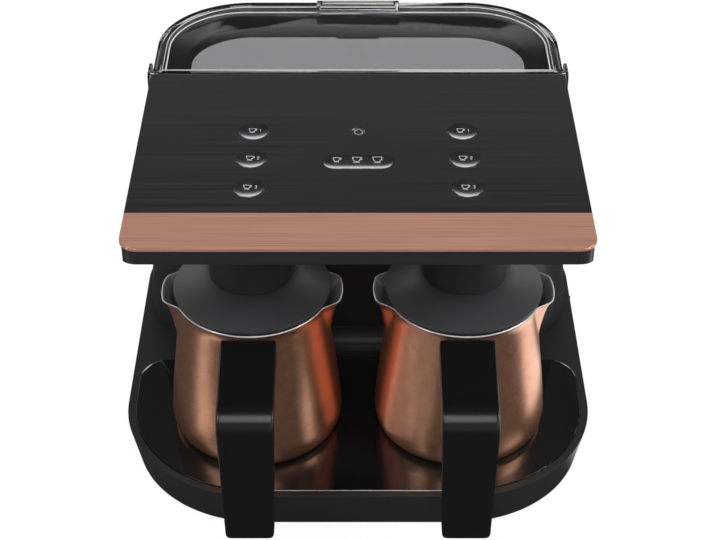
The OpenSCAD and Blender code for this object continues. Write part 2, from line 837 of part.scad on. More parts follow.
module board_screws() {
  head = [2.1, 1.1]; // radius and height
  tip_gap = 2;
  color([0.7, 0.7, 0.72]) at_posts() {
    translate([0, 0, guide_top]) cylinder(h = head[1], r = head[0]);
    translate([0, 0, tray_floor + tip_gap])
      cylinder(h = guide_top - tray_floor - tip_gap + 0.1, r = board_screw_r);
  }
}

module lamp_window() {
  color([0.75, 0.78, 0.8]) translate([0, pot_y + lamp_y, 0]) {
    translate([0, 0, flange_z]) cylinder(h = height - flange_z, r = lamp_d / 2);
    translate([0, 0, flange_z]) cylinder(h = tray_top - flange_z, r = lamp_d / 2 + 1);
  }
}

// ---- necks, cover discs and what they hold ----

hub_ledge = 2.3; // on which a nozzle's plate rests
hub_bore_r = neck_d / 2 - neck_t - hub_ledge;

module neck(side) {
  color([0.09, 0.09, 0.09]) translate([side * pot_x, pot_y, hub_z]) difference() {
    cylinder(h = head_z - hub_z, r = neck_d / 2);
    translate([0, 0, -1]) cylinder(h = head_z - hub_z + 2, r = neck_d / 2 - neck_t);
  }
}

module cover_disc(side) {
  hub_r = neck_d / 2 + 1.5;
  hub_t = disc_t * 1.3;
  edge_t = disc_t * 0.8;
  color([0.22, 0.22, 0.225]) translate([side * pot_x, pot_y, 0]) rotate_extrude() polygon([
    [disc_d / 2, disc_z], [disc_d / 2, disc_z + edge_t], [hub_r, hub_z],
    [hub_bore_r, hub_z], [hub_bore_r, hub_z - hub_t], [hub_r - 1, hub_z - hub_t],
    [disc_d / 2 - disc_t, disc_z]
  ]);
}

sensor_at = 9; // from a neck's axis to its spill sensor
spill_r = 3.5;
spill_l = 7;
nozzle_plate_t = 1.6;
nozzle_plug = 3.5;        // depth below the hub's top
nozzle_tip = [3, 7];      // radius, and depth below the hub's top
barb = [1.7, 10];         // radius and height
water_r = 0.9;            // bore of nozzles and nipples

module nozzles() {
  color([0.3, 0.3, 0.3]) at_pots() difference() {
    union() {
      translate([0, 0, hub_z]) cylinder(h = nozzle_plate_t, r = neck_d / 2 - neck_t - fit_gap);
      translate([0, 0, hub_z - nozzle_plug])
        cylinder(h = nozzle_plug + nozzle_plate_t, r = hub_bore_r - fit_gap);
      translate([0, 0, hub_z - nozzle_tip[1]]) cylinder(h = nozzle_tip[1], r = nozzle_tip[0]);
      translate([0, 0, hub_z]) cylinder(h = barb[1], r = barb[0]);
    }
    translate([0, 0, hub_z - 10]) cylinder(h = far, r = water_r);
    translate([0, -sensor_at, hub_z - 10]) cylinder(h = far, r = spill_r + screw_gap);
  }
}

module spill_sensors() {
  color([0.6, 0.1, 0.1]) at_pots() translate([0, -sensor_at, hub_z - spill_l / 2 - 0.5])
    cylinder(h = spill_l, r = spill_r);
}

// ---- pots ----

wall_steps = 12;
pot_neck_z = pot_h - pot_flare_h;

// Outer radius of a pot's wall between its belly and its neck
function wall_r(u) = pot_belly_r + (pot_neck_r - pot_belly_r)
  * (0.55 * u + 0.45 * (1 - cos(180 * u)) / 2);
function wall_point(i) = let(u = i / wall_steps)
  [wall_r(u), pot_belly_z + (pot_neck_z - pot_belly_z) * u];
wall_points = [for (i = [0:wall_steps]) wall_point(i)];
flare_points = [for (i = [1:4]) let(u = i / 4)
  [pot_neck_r + (pot_rim_r - pot_neck_r) * u * u, pot_neck_z + pot_flare_h * u]];

// Half outline of a pot, set in from its outer surface
module pot_outline(inset) {
  edge = max(pot_edge_r - inset, 1);
  polygon(concat(
    [[0, inset]],
    arc(pot_belly_r - pot_edge_r - 0.6, inset + edge, edge, -90, -10, 6),
    [for (p = concat(wall_points, flare_points)) [p[0] - inset, p[1]]],
    inset > 0 ? [[pot_rim_r - inset, pot_h + 2], [0, pot_h + 2]] : [[0, pot_h]]
  ));
}

// Spout at +X, shrunk by inset on every side and open at the top when inset is set
module spout_form(inset) {
  corner = 4;
  r = corner - inset;
  over = inset > 0 ? 2 : 0;
  hull() {
    for (s = [-1, 1]) {
      translate([pot_rim_r + spout_reach - corner, s * (spout_tip_w / 2 - corner), pot_h - 1])
        cylinder(h = 1 + over, r = r, $fn = 32);
      translate([pot_neck_r - 10, s * (spout_root_w / 2 - corner), pot_h - 1])
        cylinder(h = 1 + over, r = r, $fn = 32);
    }
    translate([pot_neck_r - corner - 0.2, 0, pot_h - spout_h]) sphere(r, $fn = 16);
  }
}

module pot(side) {
  color([0.62, 0.4, 0.32]) translate([side * pot_x, pot_y, plate_z]) difference() {
    union() {
      rotate_extrude() pot_outline(0);
      both_sides() spout_form(0);
    }
    rotate_extrude() pot_outline(pot_t);
    both_sides() spout_form(pot_t);
  }
}

// ---- handles ----

arm_top = pot_h - arm_below_rim;
arm_root = pot_rim_r + 0.7;
knee_y = handle_reach - 1.6 - knee_r;   // centre of the knee's outer arc
knee_z = arm_top - arm_slope - knee_r;
inner_r = 6;                            // radius of the inner knee
leg_back = handle_reach - leg_t;
tongue_z = pot_h - 11.4;
tongue_end = pot_rim_r + tongue_l;
handle_screw_y = pot_rim_r + 12;
handle_head = [3.1, 1.2]; // radius and height of the screw's head
handle_head_z = tongue_z - 2.6;

// Side outline of a handle: Y in front of the pot's axis is negative, Z above the plate
module handle_side() {
  foot = -handle_drop;
  polygon(concat(
    [[-arm_root, arm_top]],
    arc(-knee_y, knee_z, knee_r, 84, 178),
    arc(-handle_reach + handle_corner_r, foot + handle_corner_r, handle_corner_r, 180, 270),
    arc(-leg_back - 3, foot + 3, 3, 270, 360, 4),
    arc(inner_r - leg_back + 1.5, knee_z - 3, inner_r, 180, 90, 6),
    [[-arm_root, arm_top - arm_t]]
  ));
}

// Front outline of a handle
module handle_front() {
  foot = -handle_drop;
  r = handle_corner_r;
  polygon(concat(
    [[-handle_w / 2, pot_h], [-handle_w / 2, knee_z]],
    arc(r - handle_foot_w / 2, foot + r, r, 180, 270, 6),
    arc(handle_foot_w / 2 - r, foot + r, r, 270, 360, 6),
    [[handle_w / 2, knee_z], [handle_w / 2, pot_h]]
  ));
}

module handle(side) {
  g = screw_gap;
  color([0.05, 0.05, 0.05]) translate([side * pot_x, pot_y, plate_z]) difference() {
    intersection() {
      along_x(handle_w / 2) handle_side();
      along_y(-handle_reach - 1, 0) handle_front();
    }
    translate([-tongue_w / 2 - g, -tongue_end - g, tongue_z - g])
      cube([tongue_w + 2 * g, tongue_l + 4, tongue_t + 2 * g]);
    translate([0, -handle_screw_y, 0])
      cylinder(h = tongue_z + tongue_t + 4.5, r = handle_screw_d / 2 + g);
    translate([0, -handle_screw_y, 0])
      cylinder(h = handle_head_z + handle_head[1] + 0.1, r = handle_head[0] + g);
  }
}

// Steel pad on the pot's wall, with a tongue that runs into the handle's arm
module bracket(side) {
  pad_from = 8;
  pad_half_angle = 14;
  pad = [for (i = [pad_from:wall_steps]) wall_points[i]];
  pad_back = [for (i = [wall_steps:-1:pad_from]) [wall_points[i][0] + pad_t, wall_points[i][1]]];
  color([0.5, 0.5, 0.5]) translate([side * pot_x, pot_y, plate_z]) difference() {
    union() {
      rotate([0, 0, -90 - pad_half_angle]) rotate_extrude(angle = 2 * pad_half_angle)
        polygon(concat(pad, pad_back));
      translate([-tongue_w / 2, -tongue_end, tongue_z])
        cube([tongue_w, tongue_end - wall_r(0.9) - pad_t / 2, tongue_t]);
    }
    translate([0, -handle_screw_y, 0]) cylinder(h = pot_h, r = handle_screw_d / 2 + screw_gap);
  }
}

module handle_screw(side) {
  color([0.7, 0.7, 0.72]) translate([side * pot_x, pot_y - handle_screw_y, plate_z]) {
    translate([0, 0, handle_head_z]) cylinder(h = handle_head[1], r = handle_head[0]);
    translate([0, 0, handle_head_z])
      cylinder(h = tongue_z + tongue_t + 4 - handle_head_z, r = handle_screw_d / 2);
  }
}

// ---- tank ----

bridge = [6.6, 8, 6.6]; // arm from the tank's wall to a hinge ear
bridge_top = height - lid_t - skirt_h - 1.4;

module tank_room(inset, z0, z1, y0) {
  intersection() {
    column_block(inset, z0, z1);
    translate([-far / 2, y0, 0]) cube([far, far, far]);
  }
}

module hinge_ear() {
  chamfer = 2;
  front = hinge_y - 5.5;
  rotate([90, 0, 90]) linear_extrude(ear_t) polygon([
    [front, bridge_top - bridge[2]], [front + ear_l, bridge_top - bridge[2]],
    [front + ear_l, height - chamfer], [front + ear_l - chamfer, height],
    [front + chamfer, height], [front, height - chamfer]
  ]);
}

module tank() {
  color([0.35, 0.37, 0.38, 0.4]) difference() {
    union() {
      difference() {
        tank_room(tank_inset, tank_z, tank_top, tank_y0);
        tank_room(tank_inset + tank_t, tank_floor, tank_top + 1, tank_y0 + tank_t);
      }
      both_sides() {
        translate([ear_x0, 0, 0]) hinge_ear();
        translate([column_half(bridge_top) - tank_inset - tank_t + 0.8, tank_y0 + 2,
                   bridge_top - bridge[2]])
          cube([ear_x1 - column_half(bridge_top) + tank_inset + tank_t - 0.8,
                bridge[1], bridge[2]]);
      }
    }
    both_sides() translate([ear_x0 - 1, hinge_y, hinge_z]) rotate([0, 90, 0])
      cylinder(h = ear_t + 2, r = pin_r + run_gap);
    translate([0, tank_valve_y, tank_z - 1]) cylinder(h = 10, r = valve_r + screw_gap);
  }
}

// Horseshoe band with round front ends, from level z0 up by h
module horseshoe(half, y1, rb, w, z0, h) {
  y0 = tank_y0 + 9;
  translate([0, 0, z0]) linear_extrude(h) {
    difference() {
      rounded_outline(half, y0 - 30, y1, 2, rb);
      rounded_outline(half - w, y0 - 40, y1 - w, 2, rb - w);
      translate([-far / 2, y0 - far]) square([far, far]);
    }
    for (s = [-1, 1]) translate([s * (half - w / 2), y0]) circle(w / 2);
  }
}

module tank_collar() {
  inner_half = column_half(tank_top) - tank_inset - tank_t - fit_gap;
  outer_half = column_half(tank_top) - tank_inset;
  inner_back = pot_y + column_back_y - tank_inset - tank_t - fit_gap;
  outer_back = pot_y + column_back_y - tank_inset;
  grow = outer_half - inner_half;
  inner_r = column_back_r - tank_inset - tank_t - fit_gap;
  color([0.06, 0.06, 0.06]) {
    horseshoe(inner_half, inner_back, inner_r, collar_w, tank_top - collar_h,
              collar_h + slab);
    horseshoe(outer_half, outer_back, inner_r + grow, collar_w + grow, tank_top,
              collar_flange_t);
  }
}

socket_r = 11.5;
socket_bore_r = 8.4;
valve_foot = tank_z - valve_l;
stem_foot_z = valve_foot - 7;
guide_disc_t = 1.6;
clip_t = 1;

module valve_body() {
  flange = [valve_r + 3, 2]; // radius and thickness
  wall = 2.4;
  ports = [3.1, 0.9];        // distance from the axis and radius
  color([0.12, 0.12, 0.12]) translate([0, tank_valve_y, 0]) difference() {
    union() {
      translate([0, 0, tank_floor]) cylinder(h = flange[1], r = flange[0]);
      translate([0, 0, valve_foot]) cylinder(h = tank_floor - valve_foot + 0.5, r = valve_r);
    }
    translate([0, 0, valve_foot + guide_disc_t]) cylinder(h = far, r = valve_r - wall);
    translate([0, 0, valve_foot - 1]) cylinder(h = 10, r = stem_r + run_gap);
    for (a = [0, 120, 240]) rotate([0, 0, a]) translate([ports[0], 0, valve_foot - 1])
      cylinder(h = 10, r = ports[1]);
  }
}

module valve_poppet() {
  head_z0 = tank_floor + 2 + valve_open;
  color([0.75, 0.75, 0.72]) translate([0, tank_valve_y, 0]) {
    translate([0, 0, head_z0]) cylinder(h = 2, r = valve_r - 0.9);
    translate([0, 0, stem_foot_z]) cylinder(h = head_z0 - stem_foot_z + 0.5, r = stem_r);
    translate([0, 0, stem_foot_z]) cylinder(h = clip_t, r = 3);
  }
}

// Coil spring from z0 to z1: one ring of wire points per step of the helix
module coil_spring(r, wire, z0, z1, turns) {
  sides = 8;
  per_turn = 16;
  steps = turns * per_turn;
  rings = [for (i = [0:steps]) let(a = 360 * i / per_turn, z = z0 + (z1 - z0) * i / steps)
    [for (k = [0:sides - 1]) let(b = 360 * k / sides, q = r + wire * cos(b))
      [q * cos(a), q * sin(a), z + wire * sin(b)]]];
  pts = [for (ring = rings, p = ring) p];
  skin = [for (i = [0:steps - 1], k = [0:sides - 1])
    let(a = i * sides + k, b = i * sides + (k + 1) % sides)
    for (f = [[a, b, b + sides], [a, b + sides, a + sides]]) f];
  first = [for (k = [1:sides - 2]) [0, k + 1, k]];
  last = [for (k = [1:sides - 2]) [steps * sides, steps * sides + k, steps * sides + k + 1]];
  polyhedron(points = pts, faces = concat(skin, first, last));
}

module valve_spring() {
  wire = 0.3;
  color([0.75, 0.75, 0.76]) translate([0, tank_valve_y, 0])
    coil_spring(stem_r + 0.8, wire, stem_foot_z + clip_t + wire + 0.05, valve_foot - wire - 0.05, 4);
}

// Cup in the shelf that the tank's valve stands in; its pin holds the poppet open
module tank_socket() {
  floor_z = stem_foot_z - 4;
  nipple_z = intake_z;
  color([0.12, 0.12, 0.12]) translate([0, tank_valve_y, 0]) {
    difference() {
      union() {
        translate([0, 0, floor_z - 2]) cylinder(h = shelf_z - floor_z + 2, r = socket_r);
        translate([0, 0, shelf_under - 2]) cylinder(h = 2, r = socket_r + 3);
        translate([0, 0, nipple_z]) rotate([0, 90, 0])
          cylinder(h = 2 * nipple_end, r = barb[0], center = true);
      }
      translate([0, 0, floor_z]) cylinder(h = far, r = socket_bore_r);
      translate([0, 0, nipple_z]) rotate([0, 90, 0])
        cylinder(h = far, r = water_r, center = true);
    }
    translate([0, 0, floor_z - 1]) cylinder(h = stem_foot_z - 0.1 - floor_z + 1, r = stem_r);
  }
}

module socket_seal() {
  section = (socket_bore_r - valve_r - move_gap) / 2;
  color([0.4, 0.1, 0.05]) translate([0, tank_valve_y, valve_foot + 2.5])
    rotate_extrude() translate([socket_bore_r - section, 0]) circle(section, $fn = 24);
}

// ---- lid ----

module lid_outline(g) {
  front_r = 1.5;
  rounded_outline(lid_half + g, lid_y0 - g, lid_y1 + g, front_r, column_back_r + g);
}

module lid() {
  tab_lip = 2;
  tab_wall = 2;
  color([0.55, 0.57, 0.6, 0.35]) difference() {
    union() {
      translate([0, 0, lid_under]) linear_extrude(lid_t) difference() {
        lid_outline(0);
        pane_outline();
      }
      translate([0, 0, lid_under]) linear_extrude(lid_t - lid_step) lid_outline(0);
      translate([0, 0, lid_under - skirt_h]) linear_extrude(skirt_h + slab) difference() {
        lid_outline(0);
        lid_outline(-skirt_t);
        translate([-lid_half + skirt_t, lid_y0 - 1]) square([2 * (lid_half - skirt_t), 20]);
      }
      // finger tab: a raised frame on the lid, and a lip behind it
      translate([0, lid_y1 - tab_d / 2, lid_under]) difference() {
        translate([-tab_w / 2, -tab_d / 2, 0]) cube([tab_w, tab_d, lid_t + tab_h]);
        translate([tab_wall - tab_w / 2, tab_wall - tab_d / 2, lid_t - lid_step])
          cube([tab_w - 2 * tab_wall, tab_d - 2 * tab_wall, 10]);
      }
      translate([-tab_w / 2 + 3, lid_y1 - 1, lid_under]) cube([tab_w - 6, tab_lip + 1, lid_t]);
    }
    both_sides() translate([lid_half - skirt_t - 1, hinge_y, hinge_z]) rotate([0, 90, 0])
      cylinder(h = 10, r = pin_r);
  }
}

module pane_outline() {
  w = lid_band_w;
  rounded_outline(lid_half - w, lid_y0 + 2, lid_y1 - w, 1, column_back_r - w);
}

module lid_pins() {
  color([0.7, 0.7, 0.72]) both_sides()
    translate([lid_half - skirt_t - 0.8, hinge_y, hinge_z]) rotate([0, 90, 0])
      cylinder(h = ear_x1 - lid_half + skirt_t + 0.8, r = pin_r);
}

// ---- water path ----

pump_y = 78;                   // behind the pots' axes
pump_z = shelf_z + 4;
hose_top = tray_floor + 0.4 + hose_r;
nipple_end = socket_r + 8;     // from the socket's axis
intake_z = stem_foot_z - 0.4;

module pumps() {
  foot = [12, 5, 24];
  port_l = 8;
  color([0.8, 0.8, 0.78]) for (s = [-1, 1]) translate([s * pot_x, pot_y + pump_y, pump_z]) {
    cylinder(h = pump_l, r = pump_d / 2);
    translate([0, 0, -port_l]) cylinder(h = pump_l + 2 * port_l, r = barb[0]);
    translate([-foot[0] / 2, bay_back - shell_t - pump_y - foot[1], (pump_l - foot[2]) / 2])
      cube(foot);
  }
}

// Tube along rings, each a point with two unit vectors across the tube
module tube_along(rings, r, bore_r, sides = 12) {
  n = len(rings) - 1;
  function ring(q, radius) = [for (k = [0:sides - 1]) let(b = 360 * k / sides)
    q[0] + radius * (cos(b) * q[1] + sin(b) * q[2])];
  pts = [for (radius = [r, bore_r], q = rings, p = ring(q, radius)) p];
  inner = (n + 1) * sides;
  skin = [for (i = [0:n - 1], k = [0:sides - 1])
    let(a = i * sides + k, b = i * sides + (k + 1) % sides)
    for (f = [
      [b, a, a + sides], [b, a + sides, b + sides],
      [inner + a, inner + b, inner + b + sides], [inner + a, inner + b + sides, inner + a + sides]
    ]) f];
  ends = [for (k = [0:sides - 1])
    let(a = k, b = (k + 1) % sides, c = n * sides + k, d = n * sides + (k + 1) % sides)
    for (f = [
      [a, b, inner + b], [a, inner + b, inner + a],
      [d, c, inner + c], [d, inner + c, inner + d]
    ]) f];
  polyhedron(points = pts, faces = concat(skin, ends));
}

bend_steps = 6;
hose_sides = 12;

// Rings of a bend in a plane of constant X, round [y, z] from angle a0 to a1
function bend_yz(x, y, z, a0, a1) = [for (i = [0:bend_steps])
  let(a = a0 + (a1 - a0) * i / bend_steps)
  ring_yz(x, y + hose_bend_r * cos(a), z + hose_bend_r * sin(a),
          (a1 > a0 ? 1 : -1) * [-sin(a), cos(a)])];
// Ring at (x, y, z) whose tube runs along t, a direction in Y and Z
function ring_yz(x, y, z, t) = [[x, y, z], [0, -t[1], t[0]], [1, 0, 0]];
// Ring at (x, y, z) whose tube runs along t, a direction in X and Y
function ring_xy(x, y, z, t) = [[x, y, z], [0, 0, 1], [t[1], -t[0], 0]];

// From a pump up into the head, forward and down to a nozzle
outlet_route = concat(
  [ring_yz(pot_x, pot_y + pump_y, pump_z + pump_l + 3, [0, 1])],
  bend_yz(pot_x, pot_y + pump_y - hose_bend_r, hose_top - hose_bend_r, 0, 90),
  bend_yz(pot_x, pot_y + hose_bend_r, hose_top - hose_bend_r, 90, 180),
  [ring_yz(pot_x, pot_y, hub_z + 3, [0, -1])]
);
// From the socket sideways, forward and up to a pump
intake_route = concat(
  [ring_xy(nipple_end - 6, tank_valve_y, intake_z, [1, 0])],
  [for (i = [0:bend_steps]) let(a = 90 - 90 * i / bend_steps)
    ring_xy(pot_x - hose_bend_r + hose_bend_r * cos(a),
            tank_valve_y - hose_bend_r + hose_bend_r * sin(a), intake_z, [sin(a), -cos(a)])],
  bend_yz(pot_x, pot_y + pump_y + hose_bend_r, intake_z + hose_bend_r, -90, -180),
  [ring_yz(pot_x, pot_y + pump_y, pump_z - 1, [0, 1])]
);

module water_hoses() {
  color([0.85, 0.85, 0.82]) both_sides() {
    tube_along(outlet_route, hose_r, hose_bore_r, hose_sides);
    tube_along(intake_route, hose_r, hose_bore_r, hose_sides);
  }
}

// ---- electrics ----

standoff_l = 2;
power_board_z = shelf_z + power_board_lift;
power_board_h = head_z - power_board_drop - power_board_z;
power_board_y = bay_y0 - standoff_l - board_t;

module power_board() {
  caps = [[-26, 22], [-26, 46]]; // places of the two capacitors
  cap = [8, 18];                 // radius and length
  relay = [24, 10, 18];
  relay_at = [-34, power_board_h - 28];
  color([0.05, 0.25, 0.12]) translate([0, power_board_y, power_board_z]) {
    translate([-power_board_w / 2, 0, 0]) cube([power_board_w, board_t, power_board_h]);
    for (c = caps) rod_y(c[0], -cap[1], c[1], cap[0], cap[1] + 0.1);
    translate([relay_at[0], -relay[1], relay_at[1]]) cube(relay + [0, 0.1, 0]);
  }
}

module heatsink() {
  sink_x = -8;
  sink_in = [14, 16]; // from the board's bottom and top edges
  fins = 8;
  plate = [40, 3, power_board_h - sink_in[0] - sink_in[1]];
  fin = [1.6, 12, plate[2]];
  color([0.75, 0.76, 0.78])
    translate([sink_x, power_board_y - plate[1], power_board_z + sink_in[0]]) {
      cube(plate);
      for (i = [0:fins - 1]) translate([i * (plate[0] - fin[0]) / (fins - 1), -fin[1], 0])
        cube([fin[0], fin[1] + 0.1, fin[2]]);
    }
}

fan_bore_r = fan_w / 2 - 2;
fan_post_r = 1.5;
fan_hub_h = fan_h - 3;
fan_hub_r = 9;
fan_lift = 2.2; // from the frame's foot to the rotor

module fan_frame() {
  floor_t = 1.4;
  color([0.1, 0.1, 0.1]) translate([fan_x, pot_y + fan_y, cover_top]) {
    difference() {
      translate([-fan_w / 2, -fan_w / 2, 0]) cube([fan_w, fan_w, fan_h]);
      translate([0, 0, -1]) cylinder(h = fan_h + 2, r = fan_bore_r);
    }
    cylinder(h = floor_t, r = fan_hub_r);
    cylinder(h = fan_lift + fan_hub_h - 1.5, r = fan_post_r);
    for (a = [45:120:345]) rotate([0, 0, a]) translate([0, -1.5, 0])
      cube([fan_bore_r + 1, 3, floor_t]);
  }
}

module fan_rotor() {
  blades = 7;
  hub_h = fan_hub_h;
  blade_l = fan_bore_r - 1.5 - fan_hub_r + 1;
  color([0.12, 0.12, 0.12]) translate([fan_x, pot_y + fan_y, cover_top + fan_lift]) difference() {
    union() {
      cylinder(h = hub_h, r = fan_hub_r);
      for (i = [0:blades - 1]) rotate([0, 0, 360 * i / blades])
        translate([fan_hub_r - 1, 0, hub_h / 2]) rotate([35, 0, 0]) translate([0, -0.6, -hub_h / 2])
          cube([blade_l, 1.2, hub_h]);
    }
    translate([0, 0, -1]) cylinder(h = hub_h, r = fan_post_r + run_gap);
  }
}

// ---- switch and cord inlet ----

rocker_pin_r = 1.1;
rocker_pin_x = -2.5; // from the wall's surface

module switch_bezel() {
  flange = [1.2, switch_body[1] + 2.6, switch_body[2] + 2.6];
  mouth = [switch_body[0] - 3, rocker_l + 1.4, rocker_w + 0.6];
  color([0.06, 0.06, 0.06]) at_switch() {
    difference() {
      union() {
        translate([0, -flange[1] / 2, -flange[2] / 2]) cube(flange);
        translate([-switch_body[0], -switch_body[1] / 2, -switch_body[2] / 2])
          cube([switch_body[0] + 0.1, switch_body[1], switch_body[2]]);
      }
      translate([-mouth[0], -mouth[1] / 2, -mouth[2] / 2])
        cube([mouth[0] + 5, mouth[1], mouth[2]]);
    }
    translate([rocker_pin_x, 0, 0])
      cylinder(h = mouth[2] + 0.4, r = rocker_pin_r, center = true);
  }
}

module power_rocker() {
  half = rocker_l / 2;
  dip = 1.2;
  color([0.08, 0.08, 0.08]) at_switch() translate([rocker_pin_x, 0, 0])
    rotate([0, 0, -rocker_tilt]) difference() {
      linear_extrude(rocker_w, center = true) difference() {
        polygon([
          [-2.5, -4], [-1, -half], [rocker_face - rocker_pin_x, -half],
          [rocker_face - rocker_pin_x - dip, 0],
          [rocker_face - rocker_pin_x, half], [-1, half], [-2.5, 4]
        ]);
        circle(rocker_pin_r + run_gap);
      }
    }
}

inlet_flange_r = 8;
gland_r = inlet_flange_r - 2;
base_inlet_z = foot_h + 11;

module cord_gland() {
  wall_y = base_y1 - flare_at(base_inlet_z);
  body_l = 9;
  proud = 1.5; // of the base's wall
  color([0.05, 0.05, 0.05]) difference() {
    union() {
      rod_y(-inlet_x, wall_y - body_l + proud, base_inlet_z, gland_r, body_l);
      rod_y(-inlet_x, wall_y - body_l + proud, base_inlet_z, inlet_flange_r, 2);
    }
    rod_y(-inlet_x, wall_y - 20, base_inlet_z, inlet_r, 40);
  }
}

base_shell();
bottom_cover();
feet();
base_screws();
cooking_plate();
plate_seal();
coils();
coil_carriers();
ferrite_bars();
plate_sensors();
column_shell();
column_back();
column_screws();
head_tray();
top_plate();
copper_strip();
round_key(-1, 1);  // key_left_1
round_key(-1, 0);  // key_left_2
round_key(-1, -1);  // key_left_3
round_key(1, 1);  // key_right_1
round_key(1, 0);  // key_right_2
round_key(1, -1);  // key_right_3
key_size();
key_guide();
key_board();
key_switches();
board_screws();
lamp_window();
neck(-1);  // neck_left
neck(1);  // neck_right
cover_disc(-1);  // cover_disc_left
cover_disc(1);  // cover_disc_right
nozzles();
spill_sensors();
pot(-1);  // pot_left
pot(1);  // pot_right
handle(-1);  // handle_left
handle(1);  // handle_right
bracket(-1);  // bracket_left
bracket(1);  // bracket_right
handle_screw(-1);  // handle_screw_left
handle_screw(1);  // handle_screw_right
tank();
tank_collar();
valve_body();
valve_poppet();
valve_spring();
tank_socket();
socket_seal();
lid();
lid_pins();
pumps();
water_hoses();
power_board();
heatsink();
fan_frame();
fan_rotor();
switch_bezel();
power_rocker();
cord_gland();
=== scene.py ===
# %% [markdown]
# # Dressing an electric coffee maker
#
# The maker's construction comes ready as a frame: sixty solids at their real size, each on the
# body that it moves with. This lesson gives each one the finish of the real thing. Most solids
# are right as they are, and only want their edges eased and a good material. The pots, the
# round keys, the printed marks, the thin beads, the screws and the coil windings follow rules,
# so Geometry Nodes make those.

# %% Load the frame
import json
import math

import bmesh
import bpy
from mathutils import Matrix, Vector


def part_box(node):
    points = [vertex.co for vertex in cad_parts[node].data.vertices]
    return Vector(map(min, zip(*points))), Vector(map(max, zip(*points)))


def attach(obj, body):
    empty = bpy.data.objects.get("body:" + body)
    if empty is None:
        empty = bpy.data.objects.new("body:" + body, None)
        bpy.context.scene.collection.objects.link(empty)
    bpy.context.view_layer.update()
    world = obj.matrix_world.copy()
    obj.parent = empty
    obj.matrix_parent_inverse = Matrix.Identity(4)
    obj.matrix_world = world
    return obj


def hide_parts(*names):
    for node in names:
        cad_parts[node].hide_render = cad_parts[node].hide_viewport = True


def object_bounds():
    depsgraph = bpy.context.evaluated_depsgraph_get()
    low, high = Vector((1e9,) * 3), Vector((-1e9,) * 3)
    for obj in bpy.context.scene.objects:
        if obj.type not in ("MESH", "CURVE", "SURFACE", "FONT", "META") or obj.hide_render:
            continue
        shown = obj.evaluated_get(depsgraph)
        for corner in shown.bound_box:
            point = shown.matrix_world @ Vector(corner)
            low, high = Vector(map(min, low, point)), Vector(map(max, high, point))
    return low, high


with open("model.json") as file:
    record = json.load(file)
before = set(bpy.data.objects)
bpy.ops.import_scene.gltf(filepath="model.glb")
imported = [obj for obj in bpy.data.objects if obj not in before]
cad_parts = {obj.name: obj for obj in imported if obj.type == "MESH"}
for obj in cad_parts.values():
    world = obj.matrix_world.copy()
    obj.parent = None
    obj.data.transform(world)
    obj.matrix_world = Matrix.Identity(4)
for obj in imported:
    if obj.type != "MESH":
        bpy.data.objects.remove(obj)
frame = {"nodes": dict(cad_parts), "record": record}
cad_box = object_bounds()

MM = 0.001
nodes = frame["nodes"]
owner = {node: body for body, members in frame["record"]["behaviour"]["bodies"].items()
         for node in members}

# %% [markdown]
# ## The camera
#
# The photograph looks down on the maker from the front, at the height of someone who stands
# at the worktop. Its vanishing lines give the tilt and the distance, and the width of the pots
# gives the focal length. So the camera stands about a metre away, with a long lens, as for a
# product picture.

# %% Put up the camera
CAMERA_PLACE = (0.0, -0.7343, 0.6317)
LOOK_DOWN_DEG = 36.41
LENS_MM, SENSOR_MM = 84.88, 36.0
camera_data = bpy.data.cameras.new("photographer")
camera_data.sensor_width = SENSOR_MM
camera_data.lens = LENS_MM
camera = bpy.data.objects.new("photographer", camera_data)
camera.location = CAMERA_PLACE
camera.rotation_euler = (math.radians(90.0 - LOOK_DOWN_DEG), 0.0, 0.0)
bpy.context.scene.collection.objects.link(camera)
bpy.context.scene.camera = camera
bpy.context.scene.view_settings.view_transform = "Standard"
print("camera", tuple(camera.location), "lens", camera_data.lens)

# %% [markdown]
# ## Two small helpers
#
# Colours are written as sRGB hex values, the way a paint program shows them, and one function
# turns them into the linear values that light works in. The other adds a node to any tree:
# settings go to its properties or its sockets, and links come from other nodes.

# %% Colour and node helpers
def linear(hex_colour):
    """Linear red, green, blue and alpha of an sRGB hex colour."""
    parts = [int(hex_colour[i:i + 2], 16) / 255 for i in (1, 3, 5)]
    return (*[c / 12.92 if c <= 0.04045 else ((c + 0.055) / 1.055) ** 2.4 for c in parts], 1.0)


def add(tree, kind, settings=None, links=None):
    """A new node. A setting names a property, or else a socket, by name or number."""
    node = tree.nodes.new(kind)
    for key, value in (settings or {}).items():
        if isinstance(key, str) and hasattr(node, key):
            setattr(node, key, value)
        else:
            node.inputs[key].default_value = value
    for key, source in (links or {}).items():
        tree.links.new(source if isinstance(source, bpy.types.NodeSocket) else source.outputs[0],
                       node.inputs[key])
    return node


print("a mid grey is", round(linear("#808080")[0], 3), "in linear light")

# %% [markdown]
# ## Materials
#
# Every finish starts from one shader with the typical values of its material. What makes it
# real is small: the fine grit that a mould leaves on plastic, the streaks of a brush on
# aluminium, the soft grain of blasted steel. These patterns read Object coordinates, which
# are metres on every piece, so a grit of 0.4 mm is 0.4 mm everywhere. An image could carry
# them too, but every piece would need a map for it. Noise needs none.

# %% The shader that all finishes share
finishes = {}


